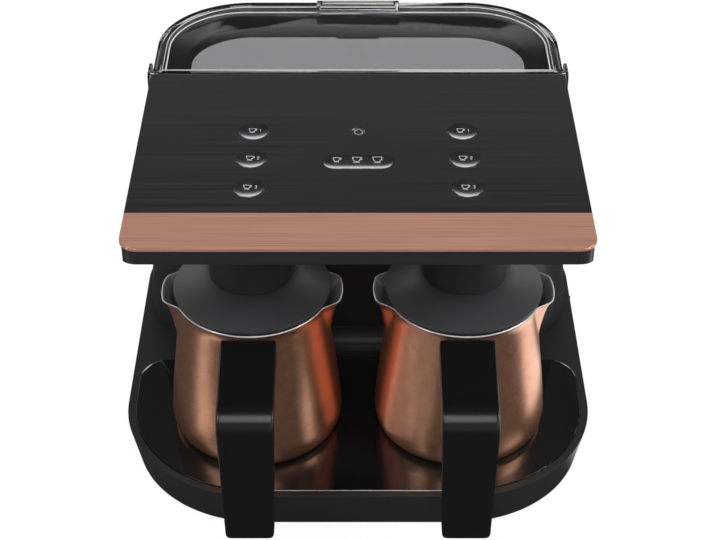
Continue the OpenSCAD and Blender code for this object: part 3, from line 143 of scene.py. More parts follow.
def finish(name, hex_colour, roughness, metallic=0.0, edge_mm=0.35, **sockets):
    """A material with one Principled shader, whose normals turn smoothly over sharp edges.

    Extra sockets are named with underscores. Without edge_mm the edges stay crisp."""
    material = bpy.data.materials.new(name)
    material.use_nodes = True
    tree = material.node_tree
    tree.nodes.clear()
    shader = add(tree, "ShaderNodeBsdfPrincipled", {
        "Base Color": linear(hex_colour), "Roughness": roughness, "Metallic": metallic})
    shader.name = "shader"
    for key, value in sockets.items():
        shader.inputs[key.replace("_", " ")].default_value = value
    if edge_mm:
        edge = add(tree, "ShaderNodeBevel", {"samples": 6, "Radius": edge_mm * MM})
        edge.name = "edge"
        tree.links.new(edge.outputs[0], shader.inputs["Normal"])
    add(tree, "ShaderNodeOutputMaterial", links={"Surface": shader})
    material.diffuse_color = linear(hex_colour)
    finishes[name] = material
    return material


print("one shader waits for its values")

# %% Patterns and what they change
def pattern(material, size_mm, stretch=(1, 1, 1), detail=3.0):
    """Noise whose smallest blobs are about size_mm, drawn longer along the stretched axes."""
    tree = material.node_tree
    place = add(tree, "ShaderNodeTexCoord").outputs["Object"]
    turned = add(tree, "ShaderNodeMapping", {"Scale": [1 / s for s in stretch]},
                 {"Vector": place})
    return add(tree, "ShaderNodeTexNoise", {"Scale": 1 / (size_mm * MM), "Detail": detail},
               {"Vector": turned})


def vary(material, socket, source, low, high, spread=(0.3, 0.7)):
    """Let a pattern swing a number of the shader between low and high."""
    tree = material.node_tree
    ranged = add(tree, "ShaderNodeMapRange", {
        "From Min": spread[0], "From Max": spread[1], "To Min": low, "To Max": high},
        {"Value": source})
    tree.links.new(ranged.outputs[0], tree.nodes["shader"].inputs[socket])


def tint(material, source, dark_hex, pale_hex, spread=(0.3, 0.7)):
    """Let a pattern swing the colour between two shades."""
    tree = material.node_tree
    ramp = add(tree, "ShaderNodeValToRGB", links={"Fac": source})
    for stop, place, shade in zip(ramp.color_ramp.elements, spread, (dark_hex, pale_hex)):
        stop.position = place
        stop.color = linear(shade)
    tree.links.new(ramp.outputs[0], tree.nodes["shader"].inputs["Base Color"])


def relief(material, source, depth_mm, strength=1.0):
    """Let a pattern raise and sink the surface by up to depth_mm."""
    tree = material.node_tree
    bump = add(tree, "ShaderNodeBump", {"Distance": depth_mm * MM, "Strength": strength},
               {"Height": source})
    if "edge" in tree.nodes:
        tree.links.new(tree.nodes["edge"].outputs[0], bump.inputs["Normal"])
    tree.links.new(bump.outputs[0], tree.nodes["shader"].inputs["Normal"])


print("patterns can swing a number, a colour or a height")

# %% [markdown]
# ### Plastics
#
# The body is black ABS from a finely etched tool, which leaves a dark, satin skin, and only the
# switch's rocker comes from a polished one. A spark-eroded tool gives the cover discs and the
# pieces inside their matte skin. The handles are bakelite, which is hard and glossy and stays
# cool beside a hot pot. Real grit is finer than a pixel here, so it's drawn at a few tenths of
# a millimetre or more, where it just shows.

# %% Moulded plastics
def moulded(name, hex_colour, roughness, grit_mm=0.5, depth_mm=0.004, **sockets):
    """Injection-moulded plastic with the fine grit of its tool."""
    material = finish(name, hex_colour, roughness, **sockets)
    grit = pattern(material, grit_mm)
    vary(material, "Roughness", grit, roughness * 0.88, roughness * 1.12)
    relief(material, grit, depth_mm)


moulded("glossy_black_abs", "#151516", 0.2, 1.2, 0.002, Specular_IOR_Level=0.4)
moulded("satin_black_abs", "#262627", 0.38, 0.6, 0.003, Specular_IOR_Level=0.35)
moulded("matte_grey_polypropylene", "#373739", 0.5, 0.4, 0.01, Specular_IOR_Level=0.4)
moulded("matte_black_polyamide", "#262628", 0.55, 0.4, 0.012, Specular_IOR_Level=0.3)
moulded("handle_black_bakelite", "#131314", 0.22, 1.5, 0.002, Specular_IOR_Level=0.4)
moulded("natural_nylon", "#cfc9b8", 0.5, 0.5, 0.01)
moulded("black_rubber", "#121212", 0.8, 0.35, 0.02)
moulded("red_silicone_rubber", "#7c2417", 0.6, 0.5, 0.01)
moulded("milky_silicone_rubber", "#c9c8c0", 0.45, 0.8, 0.01)
print(len(finishes), "plastics and rubbers")

# %% [markdown]
# ### Metals
#
# The key panel is aluminium, brushed from side to side and then anodised black. The strip is
# the same sheet in a copper colour. A brush draws long hairlines, so its noise is stretched
# some two hundred times along X. Real hairlines are about a tenth of a millimetre wide. They
# are drawn a few times wider, so that they show, and widest on the black sheet, where they
# are faintest. The pots are steel with a copper-coloured coating over a blasted skin, which
# spreads each reflection softly. Inside they are bare steel.

# %% Brushed, blasted and plated metals
HAIR_STRETCH = 220


def brushed(name, dark_hex, pale_hex, roughness, metallic, hairline_mm):
    """Sheet brushed along X: hairlines in colour, gloss and relief."""
    material = finish(name, pale_hex, roughness, metallic)
    hair = pattern(material, hairline_mm, (HAIR_STRETCH, 1, 1), 4.0)
    tint(material, hair, dark_hex, pale_hex)
    vary(material, "Roughness", hair, roughness * 0.8, roughness * 1.25)
    relief(material, hair, 0.01, 0.5)


def blasted(name, dark_hex, pale_hex, roughness, grain_mm=0.35, depth_mm=0.006, metallic=1.0):
    """Metal blasted with fine beads: an even satin skin with faint clouds of shade."""
    material = finish(name, pale_hex, roughness, metallic)
    clouds = pattern(material, 6.0)
    tint(material, clouds, dark_hex, pale_hex, (0.2, 0.8))
    grain = pattern(material, grain_mm)
    vary(material, "Roughness", grain, roughness * 0.85, roughness * 1.15)
    relief(material, grain, depth_mm)


brushed("brushed_black_aluminium", "#0f0f10", "#343436", 0.42, 0.55, 0.6)
brushed("brushed_copper_aluminium", "#c98f78", "#edb49b", 0.38, 0.65, 0.35)
blasted("copper_coated_steel", "#c98f72", "#dba486", 0.3, metallic=0.92)
blasted("bare_stainless_steel", "#c4c4c6", "#dcdcde", 0.36, 0.6, 0.003, 0.65)
blasted("zinc_plated_steel", "#9d9fa3", "#c3c5c9", 0.32, 0.5, 0.004)
blasted("extruded_aluminium", "#a9abae", "#c7c9cc", 0.38, 0.7, 0.006)
blasted("varnished_copper_wire", "#8f4a24", "#b8683a", 0.3, 0.4, 0.004)
moulded("sintered_ferrite", "#333436", 0.6, 0.3, 0.02)
moulded("green_circuit_board", "#14492a", 0.35, 2.5, 0.006)
print(len(finishes), "finishes so far")

# %% [markdown]
# ### Glass and clear plastic
#
# The cooking plate is black glass ceramic, almost a mirror, with faint waves from rolling.
# Tank and lid are clear plastic, a smoky grey. Light loses a share at each wall, so the colour
# of a clear material is what one wall lets through. The lid is thicker at its skirt and at its
# raised rim than in its pane, so its colour steps with the height. Absorption inside the
# plastic could do that by itself, but only if every wall had its real thickness.

# %% Glass ceramic and clear plastics
plate_glass = finish("black_glass_ceramic", "#131314", 0.05, Specular_IOR_Level=0.6,
                     Coat_Weight=0.3, Coat_Roughness=0.03)
rolling_waves = pattern(plate_glass, 40.0, detail=0.0)
relief(plate_glass, rolling_waves, 0.02, 0.3)


def clear(name, hex_colour, roughness, ior=1.49):
    """Clear plastic, with the faint flow marks that moulding leaves."""
    material = finish(name, hex_colour, roughness, 0.0, 0.0, Transmission_Weight=1.0, IOR=ior)
    flow_marks = pattern(material, 25.0, detail=1.0)
    relief(material, flow_marks, 0.02, 0.1)
    return material


def shade_by_height(material, foot_mm, top_mm, lowest_hex, steps):
    """Give a finish another shade from each given height up."""
    tree = material.node_tree
    height = add(tree, "ShaderNodeSeparateXYZ", links={
        0: add(tree, "ShaderNodeTexCoord").outputs["Object"]}).outputs["Z"]
    share = add(tree, "ShaderNodeMapRange", {"From Min": foot_mm * MM, "From Max": top_mm * MM},
                {"Value": height})
    ramp = add(tree, "ShaderNodeValToRGB", links={"Fac": share})
    ramp.color_ramp.interpolation = "CONSTANT"
    stops = ramp.color_ramp.elements
    stops.remove(stops[1])
    stops[0].color = linear(lowest_hex)
    for level_mm, shade in steps:
        stops.new((level_mm - foot_mm) / (top_mm - foot_mm)).color = linear(shade)
    tree.links.new(ramp.outputs[0], tree.nodes["shader"].inputs["Base Color"])


THIN_PANE, THICK_RIM = "#c2c2c3", "#6e6e70"
clear("smoke_grey_copolyester", "#c9c9ca", 0.02, 1.5)
lid_plastic = clear("smoke_grey_lid", THIN_PANE, 0.02, 1.5)
shade_by_height(lid_plastic, 175.5, 185.5, THICK_RIM, (
    (180.9, THIN_PANE), (182.7, THICK_RIM), (183.1, THIN_PANE)))
clear("frosted_indicator_window", "#8a8c90", 0.3)
# near-white, half-clear bead finish: a painted highlight for the bright lines along the lid's
# beads and the plate's front edge
finish("polished_bead", "#efeff0", 0.15, edge_mm=0.0, Transmission_Weight=0.3, IOR=1.5)
print(len(finishes), "finishes so far")

# %% [markdown]
# ### Plated keys and printing ink
#
# The keys are ABS with a thin layer of metal from a vacuum chamber, dark and bright like black
# chrome. The ink is a white screen print, a little off-white once it has dried.

# %% Plating and ink
moulded("vacuum_plated_key", "#98989b", 0.2, 0.8, 0.002, metallic=1.0, edge_mm=0.0)
ink = finish("white_printing_ink", "#c6c6c6", 0.5, edge_mm=0.0)
vary(ink, "Roughness", pattern(ink, 0.3), 0.42, 0.6)
print(len(finishes), "finishes in all")

# %% [markdown]
# ## Easing the edges
#
# No moulded or stamped piece has a knife edge: each one is rounded by a few tenths of a
# millimetre, and that thin round is what catches the light along it. A Bevel modifier could
# cut it, but it tears where many small faces meet. A solid's mesh is loose triangles, so a copy
# is merged and shaded smoothly, with weighted normals that keep its flat faces flat, and the
# finish rounds the edges. Where an edge is rounder than that, as on a handle, the copy is
# rebuilt from small cubes and smoothed. The copy stands for the solid.

# %% Pieces that stand for solids
def settle(piece):
    """Turn a piece's modifiers into plain mesh."""
    graph = bpy.context.evaluated_depsgraph_get()
    mesh = bpy.data.meshes.new_from_object(piece.evaluated_get(graph), depsgraph=graph)
    piece.modifiers.clear()
    piece.data = mesh
    mesh.name = piece.name
    return piece


def new_piece(name, mesh):
    """An object at the origin that holds the mesh."""
    piece = bpy.data.objects.new(name, mesh)
    bpy.context.scene.collection.objects.link(piece)
    return piece


def dress(piece, material_name, *stands_for):
    """Give a piece its material and its body, and hide the solids it stands for."""
    if material_name:
        piece.data.materials.clear()
        piece.data.materials.append(finishes[material_name])
    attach(piece, owner[stands_for[0]])
    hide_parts(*stands_for)
    return piece


print("pieces can stand for solids")

# %% Two ways to ease a solid
SHARP_DEG = 30


def merged_copy(node, sharp=SHARP_DEG):
    """A piece with the solid's own shape, merged and smooth but for its sharp edges."""
    shape = bmesh.new()
    shape.from_mesh(nodes[node].data)
    bmesh.ops.remove_doubles(shape, verts=shape.verts, dist=2e-6)
    mesh = bpy.data.meshes.new(node + "_eased")
    shape.to_mesh(mesh)
    shape.free()
    mesh.shade_smooth()
    mesh.set_sharp_from_angle(angle=math.radians(sharp))
    return new_piece(node + "_eased", mesh)


def eased(node, material_name, sharp=SHARP_DEG):
    """A smooth copy of a solid, which stands for it."""
    piece = merged_copy(node, sharp)
    flat = piece.modifiers.new("flat_faces", "WEIGHTED_NORMAL")
    flat.keep_sharp = True
    return dress(settle(piece), material_name, node)


def worn_round(node, material_name, cube_mm, rounds):
    """A copy of a solid with its edges worn round, which stands for it."""
    piece = merged_copy(node)
    cubes = piece.modifiers.new("cubes", "REMESH")
    cubes.mode = "VOXEL"
    cubes.voxel_size = cube_mm * MM
    cubes.use_smooth_shade = True
    wear = piece.modifiers.new("wear", "SMOOTH")
    wear.factor = 0.5
    wear.iterations = rounds
    return dress(settle(piece), material_name, node)


print("solids can now be eased")

# %% [markdown]
# ## The casing
#
# Column, head tray and their small fittings are mouldings, the panel and the strip are sheet,
# and the plate is glass. Their solids have the right shape already, so each row of the first
# list only names a finish and the solids that get it. Handles and collar have edges that a
# finger feels as round. For them the second list gives the finish, the size of the cubes in
# millimetres and the rounds of smoothing.

# %% Ease the casing
CASING = {
    "satin_black_abs": ["column_shell", "head_tray"],
    "glossy_black_abs": ["power_rocker"],
    "black_glass_ceramic": ["cooking_plate"],
    "brushed_black_aluminium": ["top_plate"],
    "brushed_copper_aluminium": ["copper_strip"],
    "matte_black_polyamide": ["column_back", "neck_left", "neck_right", "switch_bezel",
                              "bottom_cover"],
    "matte_grey_polypropylene": ["cover_disc_left", "cover_disc_right"],
    "black_rubber": ["cord_gland", "feet"],
}
ROUNDED = {
    "handle_left": ("handle_black_bakelite", 0.5, 40),
    "handle_right": ("handle_black_bakelite", 0.5, 40),
    "tank_collar": ("satin_black_abs", 0.55, 4),
}
for material_name, members in CASING.items():
    for node in members:
        eased(node, material_name)
for node, (material_name, cube_mm, rounds) in ROUNDED.items():
    piece = worn_round(node, material_name, cube_mm, rounds)
    print(node, len(piece.data.polygons), "faces")

# %% [markdown]
# ## Tank and lid
#
# Both are clear mouldings, and so is the small window over the indicator lamp. Clear pieces
# need closed walls of real thickness, because light bends on its way in and again on its way
# out. The solids have them, so they are only eased.

# %% Ease tank and lid
eased("tank", "smoke_grey_copolyester")
eased("lid", "smoke_grey_lid")
eased("lamp_window", "frosted_indicator_window")
print("tank, lid and window eased")

# %% [markdown]
# ## The pots
#
# A pot is turned: a half outline goes round an axis, and two spouts are then pressed out of
# the wall. Screw modifiers turn outlines too, but can't press a spout. So the script draws only
# the half outline, up the outside, over the rim and down the inside, and a node tree turns it
# and presses the spouts. A cosine carries the wall from its belly to its neck, as on a pot that
# was spun over a former.

# %% The half outline of a pot
pot_low, pot_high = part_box("pot_left")
POT_HEIGHT = (pot_high.z - pot_low.z) / MM
BELLY_R, NECK_R, RIM_R = 45.3, 38.6, 40.0
BELLY_Z, FLARE_H = 9.0, 7.0
WALL = 1.2
EDGE_R, EDGE_IN = 5.0, 0.6
SLANT = 0.55  # share of the wall's run that is straight, the rest is a cosine
FLARE_STEPS = RIM_STEPS = 6


def wall_line(steps=22):
    """Radius and height up the outer wall, from the belly to the rim."""
    neck_z = POT_HEIGHT - FLARE_H
    line = []
    for i in range(steps + 1):
        u = i / steps
        swing = SLANT * u + (1 - SLANT) * (1 - math.cos(math.pi * u)) / 2
        line.append((BELLY_R + (NECK_R - BELLY_R) * swing, BELLY_Z + (neck_z - BELLY_Z) * u))
    for i in range(1, FLARE_STEPS + 1):
        u = i / FLARE_STEPS
        line.append((NECK_R + (RIM_R - NECK_R) * u * u, neck_z + (FLARE_H - WALL / 2) * u))
    return line


def bottom_edge(inset, steps=8):
    """Quarter round between a pot's bottom and its wall."""
    r = EDGE_R - inset
    centre = BELLY_R - EDGE_R - EDGE_IN
    return [(centre + r * math.cos(a), inset + r + r * math.sin(a))
            for a in (math.radians(-90 + 80 * i / steps) for i in range(steps + 1))]


outer = [(0.0, 0.0), (BELLY_R / 3, 0.0), (BELLY_R * 2 / 3, 0.0)] + bottom_edge(0.0) + wall_line()
lip_r = WALL / 2
rim = [(RIM_R - lip_r + lip_r * math.cos(a), POT_HEIGHT - lip_r + lip_r * math.sin(a))
       for a in (math.radians(180 * i / RIM_STEPS) for i in range(1, RIM_STEPS))]
inner = [(r - WALL, z) for r, z in reversed(wall_line())]
inner += list(reversed(bottom_edge(WALL))) + [(BELLY_R / 2, WALL), (0.0, WALL)]
pot_outline = outer + rim + inner
print(len(pot_outline), "points in the half outline")

# %% [markdown]
# A node tree is built like a material's, node by node. Three helpers keep that short. One
# starts a tree with named inputs, one ends it, and one runs it on a piece and keeps the plain
# mesh, because the export drops instances.

# %% Helpers for node trees
def new_tree(name, sockets):
    """A Geometry Nodes tree with a geometry input and the named inputs."""
    tree = bpy.data.node_groups.new(name, "GeometryNodeTree")
    tree.interface.new_socket("Geometry", in_out="INPUT", socket_type="NodeSocketGeometry")
    for socket, kind in sockets.items():
        tree.interface.new_socket(socket, in_out="INPUT", socket_type="NodeSocket" + kind)
    tree.interface.new_socket("Geometry", in_out="OUTPUT", socket_type="NodeSocketGeometry")
    return tree, add(tree, "NodeGroupInput").outputs


def close_tree(tree, geometry, material, extra=()):
    """End a tree in Realize Instances and Set Material, with extra materials on selections."""
    last = add(tree, "GeometryNodeRealizeInstances", links={"Geometry": geometry})
    last = add(tree, "GeometryNodeSetMaterial", links={"Geometry": last, "Material": material})
    for other, selection in extra:
        last = add(tree, "GeometryNodeSetMaterial",
                   links={"Geometry": last, "Material": other, "Selection": selection})
    add(tree, "NodeGroupOutput", links={0: last})
    return tree


def grow(piece, tree, values):
    """Run a tree on a piece with the named values, and keep the plain mesh."""
    modifier = piece.modifiers.new("grow", "NODES")
    modifier.node_group = tree
    names = {item.name: item.identifier for item in tree.interface.items_tree
             if item.in_out == "INPUT"}
    for name, value in values.items():
        modifier[names[name]] = value
    return settle(piece)


print("tree helpers are ready")

# %% [markdown]
# The tree makes a grid with one column for each step round the axis and one row for each point
# of the outline. A grid point's number tells its column and its row. The row looks up a radius
# and a height in the outline, and the column says how far round they go.

# %% The tree that turns a piece
tree, given = new_tree("turned_piece", {
    "Steps Round": "Int", "Rows": "Int", "Inside From Row": "Int", "Spout Reach": "Float",
    "Spout Width": "Float", "Spout Height": "Float", "Height": "Float", "Place": "Vector",
    "Outside": "Material", "Inside": "Material"})
steps_round, rows = given["Steps Round"], given["Rows"]
columns = add(tree, "ShaderNodeMath", {"operation": "ADD", 1: 1}, {0: steps_round})
grid = add(tree, "GeometryNodeMeshGrid", links={"Vertices X": columns, "Vertices Y": rows})
number = add(tree, "GeometryNodeInputIndex")
number_by_rows = add(tree, "ShaderNodeMath", {"operation": "DIVIDE"}, {0: number, 1: rows})
column = add(tree, "ShaderNodeMath", {"operation": "FLOOR"}, {0: number_by_rows})
column_start = add(tree, "ShaderNodeMath", {"operation": "MULTIPLY"}, {0: column, 1: rows})
row = add(tree, "ShaderNodeMath", {"operation": "SUBTRACT"}, {0: number, 1: column_start})
looked_up = add(tree, "GeometryNodeSampleIndex", {"data_type": "FLOAT_VECTOR"}, {
    "Geometry": given["Geometry"], "Value": add(tree, "GeometryNodeInputPosition"), "Index": row})
outline_point = add(tree, "ShaderNodeSeparateXYZ", links={0: looked_up})
radius, level = outline_point.outputs["X"], outline_point.outputs["Z"]
full_turns = add(tree, "ShaderNodeMath", {"operation": "MULTIPLY", 1: 2 * math.pi}, {0: column})
turn = add(tree, "ShaderNodeMath", {"operation": "DIVIDE"}, {0: full_turns, 1: steps_round})
cosine = add(tree, "ShaderNodeMath", {"operation": "COSINE"}, {0: turn})
sine = add(tree, "ShaderNodeMath", {"operation": "SINE"}, {0: turn})
across_x = add(tree, "ShaderNodeMath", {"operation": "MULTIPLY"}, {0: radius, 1: cosine})
across_y = add(tree, "ShaderNodeMath", {"operation": "MULTIPLY"}, {0: radius, 1: sine})
print(len(tree.nodes), "nodes turn an outline")

# %% [markdown]
# Near the rim, a smooth falloff across and down the wall presses the two spouts out to the
# sides. It's full in the middle of a spout at the rim, and fades to nothing at its sides and
# its root. From a given row on, the faces get the finish of the inside.

# %% The same tree presses the spouts
ROOT_NARROWER = 2.1  # how many times narrower a spout is at its root than at the rim
SPOUT_MIDDLE, SPOUT_SIDE = 0.27, 0.5  # shares of the width where the falloff starts and ends
SPOUT_RISE = 1.15  # above 1, a spout leaves the wall softly
spout_root = add(tree, "ShaderNodeMath", {"operation": "SUBTRACT"}, {
    0: given["Height"], 1: given["Spout Height"]})
# 0 at a spout's root, 1 at the rim
climb = add(tree, "ShaderNodeMapRange", links={
    "Value": level, "From Min": spout_root, "From Max": given["Height"]})
lost = add(tree, "ShaderNodeMath", {"operation": "MULTIPLY", 1: ROOT_NARROWER - 1}, {0: climb})
narrowing = add(tree, "ShaderNodeMath", {"operation": "SUBTRACT", 0: ROOT_NARROWER}, {1: lost})
off_middle = add(tree, "ShaderNodeMath", {"operation": "ABSOLUTE"}, {0: across_y})
width_share = add(tree, "ShaderNodeMath", {"operation": "DIVIDE"}, {
    0: off_middle, 1: given["Spout Width"]})
side_share = add(tree, "ShaderNodeMath", {"operation": "MULTIPLY"}, {
    0: narrowing, 1: width_share})
falloff = add(tree, "ShaderNodeMapRange", {
    "interpolation_type": "SMOOTHSTEP", "From Min": SPOUT_MIDDLE, "From Max": SPOUT_SIDE,
    "To Min": 1.0, "To Max": 0.0}, {"Value": side_share})
rise = add(tree, "ShaderNodeMath", {"operation": "POWER", 1: SPOUT_RISE}, {0: climb})
press = add(tree, "ShaderNodeMath", {"operation": "MULTIPLY"}, {0: rise, 1: falloff})
reach = add(tree, "ShaderNodeMath", {"operation": "MULTIPLY"}, {
    0: press, 1: given["Spout Reach"]})
left_or_right = add(tree, "ShaderNodeMath", {"operation": "SIGN"}, {0: across_x})
push = add(tree, "ShaderNodeMath", {"operation": "MULTIPLY"}, {0: reach, 1: left_or_right})
pushed_x = add(tree, "ShaderNodeMath", {"operation": "ADD"}, {0: across_x, 1: push})
turned = add(tree, "ShaderNodeCombineXYZ", links={"X": pushed_x, "Y": across_y, "Z": level})
placed = add(tree, "ShaderNodeVectorMath", {"operation": "ADD"}, {0: turned, 1: given["Place"]})
kept_row = add(tree, "GeometryNodeStoreNamedAttribute", {
    "data_type": "FLOAT", "domain": "POINT", "Name": "row"}, {"Geometry": grid, "Value": row})
body = add(tree, "GeometryNodeSetPosition", links={"Geometry": kept_row, "Position": placed})
closed = add(tree, "GeometryNodeMergeByDistance", {"Distance": 0.02 * MM}, {"Geometry": body})
smooth = add(tree, "GeometryNodeSetShadeSmooth", links={"Geometry": closed})
row_value = add(tree, "GeometryNodeInputNamedAttribute", {"data_type": "FLOAT", "Name": "row"})
is_inside = add(tree, "FunctionNodeCompare", {"operation": "GREATER_THAN"}, {
    0: row_value, 1: given["Inside From Row"]})
turned_tree = close_tree(tree, smooth, given["Outside"], [(given["Inside"], is_inside)])
print(len(turned_tree.nodes), "nodes turn a piece and press its spouts")

# %% [markdown]
# The half outline goes into the tree as a chain of edges, and the spouts' sizes as its inputs.
# With 256 steps round, the rim looks smooth from close by too.

# %% Turn both pots
def chain(name, points, closed_loop=False):
    """A mesh of edges from point to point, given in millimetres."""
    edges = [(i, i + 1) for i in range(len(points) - 1)]
    if closed_loop:
        edges.append((len(points) - 1, 0))
    mesh = bpy.data.meshes.new(name)
    mesh.from_pydata([[n * MM for n in point] for point in points], edges, [])
    return mesh


def turn_piece(node, outline, steps, outside, inside, inside_row, reach=0.0, width=0.0,
               spout_height=0.0):
    """A turned piece, which stands for a solid. Its outline is in millimetres."""
    low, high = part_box(node)
    line = chain(node + "_outline", [(r, 0.0, z) for r, z in outline])
    piece = grow(new_piece(node + "_turned", line), turned_tree, {
        "Steps Round": steps, "Rows": len(outline), "Inside From Row": inside_row,
        "Spout Reach": reach * MM, "Spout Width": width * MM,
        "Spout Height": spout_height * MM, "Height": high.z - low.z,
        "Place": ((low.x + high.x) / 2, (low.y + high.y) / 2, low.z),
        "Outside": finishes[outside], "Inside": finishes[inside]})
    piece.data.set_sharp_from_angle(angle=math.radians(SHARP_DEG))
    dress(piece, None, node)
    print(piece.name, len(piece.data.polygons), "faces")


POT_STEPS = 256
SPOUT_REACH, SPOUT_WIDTH, SPOUT_HEIGHT = 6.8, 36.0, 26.0
for side in ("left", "right"):
    turn_piece("pot_" + side, pot_outline, POT_STEPS, "copper_coated_steel",
               "bare_stainless_steel", len(outer) - 1, SPOUT_REACH, SPOUT_WIDTH, SPOUT_HEIGHT)

# %% [markdown]
# ## Keys and their marks
#
# A small cup and a number are printed in white ink on each key: thin lines that lie in its
# dish. A texture could show them, but it would blur from close by. So the marks are drawn as
# strokes in millimetres, and a node tree sweeps each stroke with a flat profile, which gives
# every line of ink the same width.

# %% The tree that prints a line
tree, given = new_tree("printed_line", {
    "Line Width": "Float", "Ink Height": "Float", "Ink": "Material"})
stroke = add(tree, "GeometryNodeMeshToCurve", links={"Mesh": given["Geometry"]})
nib = add(tree, "GeometryNodeCurvePrimitiveQuadrilateral", links={
    "Width": given["Line Width"], "Height": given["Ink Height"]})
swept = add(tree, "GeometryNodeCurveToMesh", {"Fill Caps": True}, {
    "Curve": stroke, "Profile Curve": nib})
ink_tree = close_tree(tree, swept, given["Ink"])
print(len(ink_tree.nodes), "nodes print a line")

# %% [markdown]
# Each mark is a short list of strokes, and each stroke a list of points, straight from one to
# the next. Arcs make what is round. All sizes are in millimetres, from the middle of the key.

# %% Strokes of the marks
def arc(cx, cy, r, start, stop, steps=10):
    """Points of an arc, in degrees."""
    return [(cx + r * math.cos(a), cy + r * math.sin(a))
            for a in (math.radians(start + (stop - start) * i / steps) for i in range(steps + 1))]


def cup_mark(cx, cy, width):
    """A cup seen from the side, with its handle and a saucer."""
    half, tall = width * 0.38, width * 0.6
    left = [(cx - half, cy + tall / 2), (cx - half * 0.9, cy), (cx - half * 0.45, cy - tall / 2)]
    right = [(2 * cx - x, y) for x, y in reversed(left)]
    handle = arc(cx + half, cy + tall * 0.2, tall * 0.24, -100, 100, 8)
    saucer = [(cx - half * 0.8, cy - tall * 0.72), (cx + half * 0.8, cy - tall * 0.72)]
    return [left + right + left[:1], handle, saucer]


def number_mark(number, cx, cy, tall):
    """The figure 1, 2 or 3."""
    r = tall / 4
    if number == 1:
        return [[(cx - r, cy + r), (cx, cy + 2 * r), (cx, cy - 2 * r)]]
    if number == 2:
        return [arc(cx, cy + r, r, 170, -30) + [(cx - r, cy - 2 * r), (cx + r, cy - 2 * r)]]
    return [arc(cx, cy + r, r, 150, -90, 8) + arc(cx, cy - r, r, 90, -150, 8)]


def drop_mark(cx, cy, r):
    """A water drop with a small splash beside it."""
    drop = [(cx, cy + r * 1.5)] + arc(cx, cy, r, 135, 405, 20)
    splash = arc(cx - r * 1.25, cy + r * 1.25, r * 0.22, 0, 360, 8)
    return [drop + drop[:1], splash]


LINE_W, INK_T = 0.32, 0.05


def print_marks(node, strokes, surface):
    """Print strokes, given round a key's middle, on the surface of that key."""
    low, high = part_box(node)
    middle = (low + high) / 2
    points, edges = [], []
    for line in strokes:
        first = len(points)
        points += [(middle.x + x * MM, middle.y + y * MM, high.z + surface(x, y) * MM)
                   for x, y in line]
        edges += [(i, i + 1) for i in range(first, len(points) - 1)]
    mesh = bpy.data.meshes.new(node + "_mark")
    mesh.from_pydata(points, edges, [])
    piece = grow(new_piece(node + "_mark", mesh), ink_tree, {
        "Line Width": LINE_W * MM, "Ink Height": INK_T * MM, "Ink": ink})
    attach(piece, owner[node])


print("strokes are ready")

# %% [markdown]
# A round key is a cap with a shallow round dish in its top, on a flange that holds it below the
# panel and a thin stem that reaches the switch. The front of the dish mirrors the light behind
# the maker as a bright crescent, and any flat facet would break it. So the round keys are
# turned, by the tree that turned the pots. The wide key's dish is a plain trough, and easing
# is enough for it. A low sharp angle keeps the rim of the trough crisp.

# %% Dress the keys
KEY_R, WIDE_R = 7.5, 6.5
DISH, DISH_RIM = 1.0, 0.3
FLANGE_R, FLANGE_T, STEM_R, CAP_H = 9.0, 1.2, 3.0, 3.3
BREAK = 0.06  # the tiny bevel between a key's side and its top
KEY_STEPS, BOWL_STEPS = 96, 16
INK_LIFT = 0.02
PLATED = "vacuum_plated_key"


def dished(reach):
    """Height of a dish of a given half width over the key's top, as a function of distance."""
    ball = ((reach - DISH_RIM) ** 2 + DISH ** 2) / (2 * DISH)
    return lambda away: ball - DISH - math.sqrt(ball ** 2 - away ** 2)


def key_outline(tall):
    """Half outline of a round key, from its stem to the middle of its dish."""
    under = tall - CAP_H
    side = [(0.0, 0.0), (STEM_R, 0.0), (STEM_R, under), (FLANGE_R, under),
            (FLANGE_R, under + FLANGE_T), (KEY_R, under + FLANGE_T), (KEY_R, tall - BREAK),
            (KEY_R - BREAK, tall)]
    rounds = [(KEY_R - DISH_RIM) * (1 - i / BOWL_STEPS) for i in range(BOWL_STEPS + 1)]
    return side + [(r, tall + round_dish(r)) for r in rounds]


round_dish, wide_dish = dished(KEY_R), dished(WIDE_R)
for node in [n for n in nodes if n.startswith(("key_left_", "key_right_"))]:
    low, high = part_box(node)
    outline = key_outline((high.z - low.z) / MM)
    turn_piece(node, outline, KEY_STEPS, PLATED, PLATED, len(outline))
    strokes = cup_mark(-0.9, 2.5, 4.3) + number_mark(int(node[-1]), 3.3, 2.2, 2.0)
    print_marks(node, strokes, lambda x, y: round_dish(math.hypot(x, y)) + INK_LIFT)
eased("key_size", PLATED, 10)
cups = [stroke for x, width in ((-10.6, 4.3), (-0.7, 5.2), (9.5, 5.8))
        for stroke in cup_mark(x, 3.2, width)]
print_marks("key_size", cups, lambda x, y: wide_dish(abs(y)) + INK_LIFT)
print_marks("lamp_window", drop_mark(0.3, -0.6, 2.1), lambda x, y: INK_LIFT)
print("keys dressed and printed")

# %% [markdown]
# ## Thin beads
#
# The lid has two raised beads that follow its outline. Their near-white finish is painted
# highlight: it stands for the bright double lines that light makes on them. Two edges of sheet
# get a bead too: the cut rear edge of the panel, in bare steel, and the ground front edge of the
# cooking plate, in the same near-white painted highlight. One rule fits them all, a path with a
# round profile, so one tree makes them.

# %% The tree that lays a bead
tree, given = new_tree("bead_on_path", {"Radius": "Float", "Finish": "Material"})
path = add(tree, "GeometryNodeMeshToCurve", links={"Mesh": given["Geometry"]})
round_profile = add(tree, "GeometryNodeCurvePrimitiveCircle", {"Resolution": 12}, {
    "Radius": given["Radius"]})
bead = add(tree, "GeometryNodeCurveToMesh", {"Fill Caps": True}, {
    "Curve": path, "Profile Curve": round_profile})
bead_tree = close_tree(tree, bead, given["Finish"])


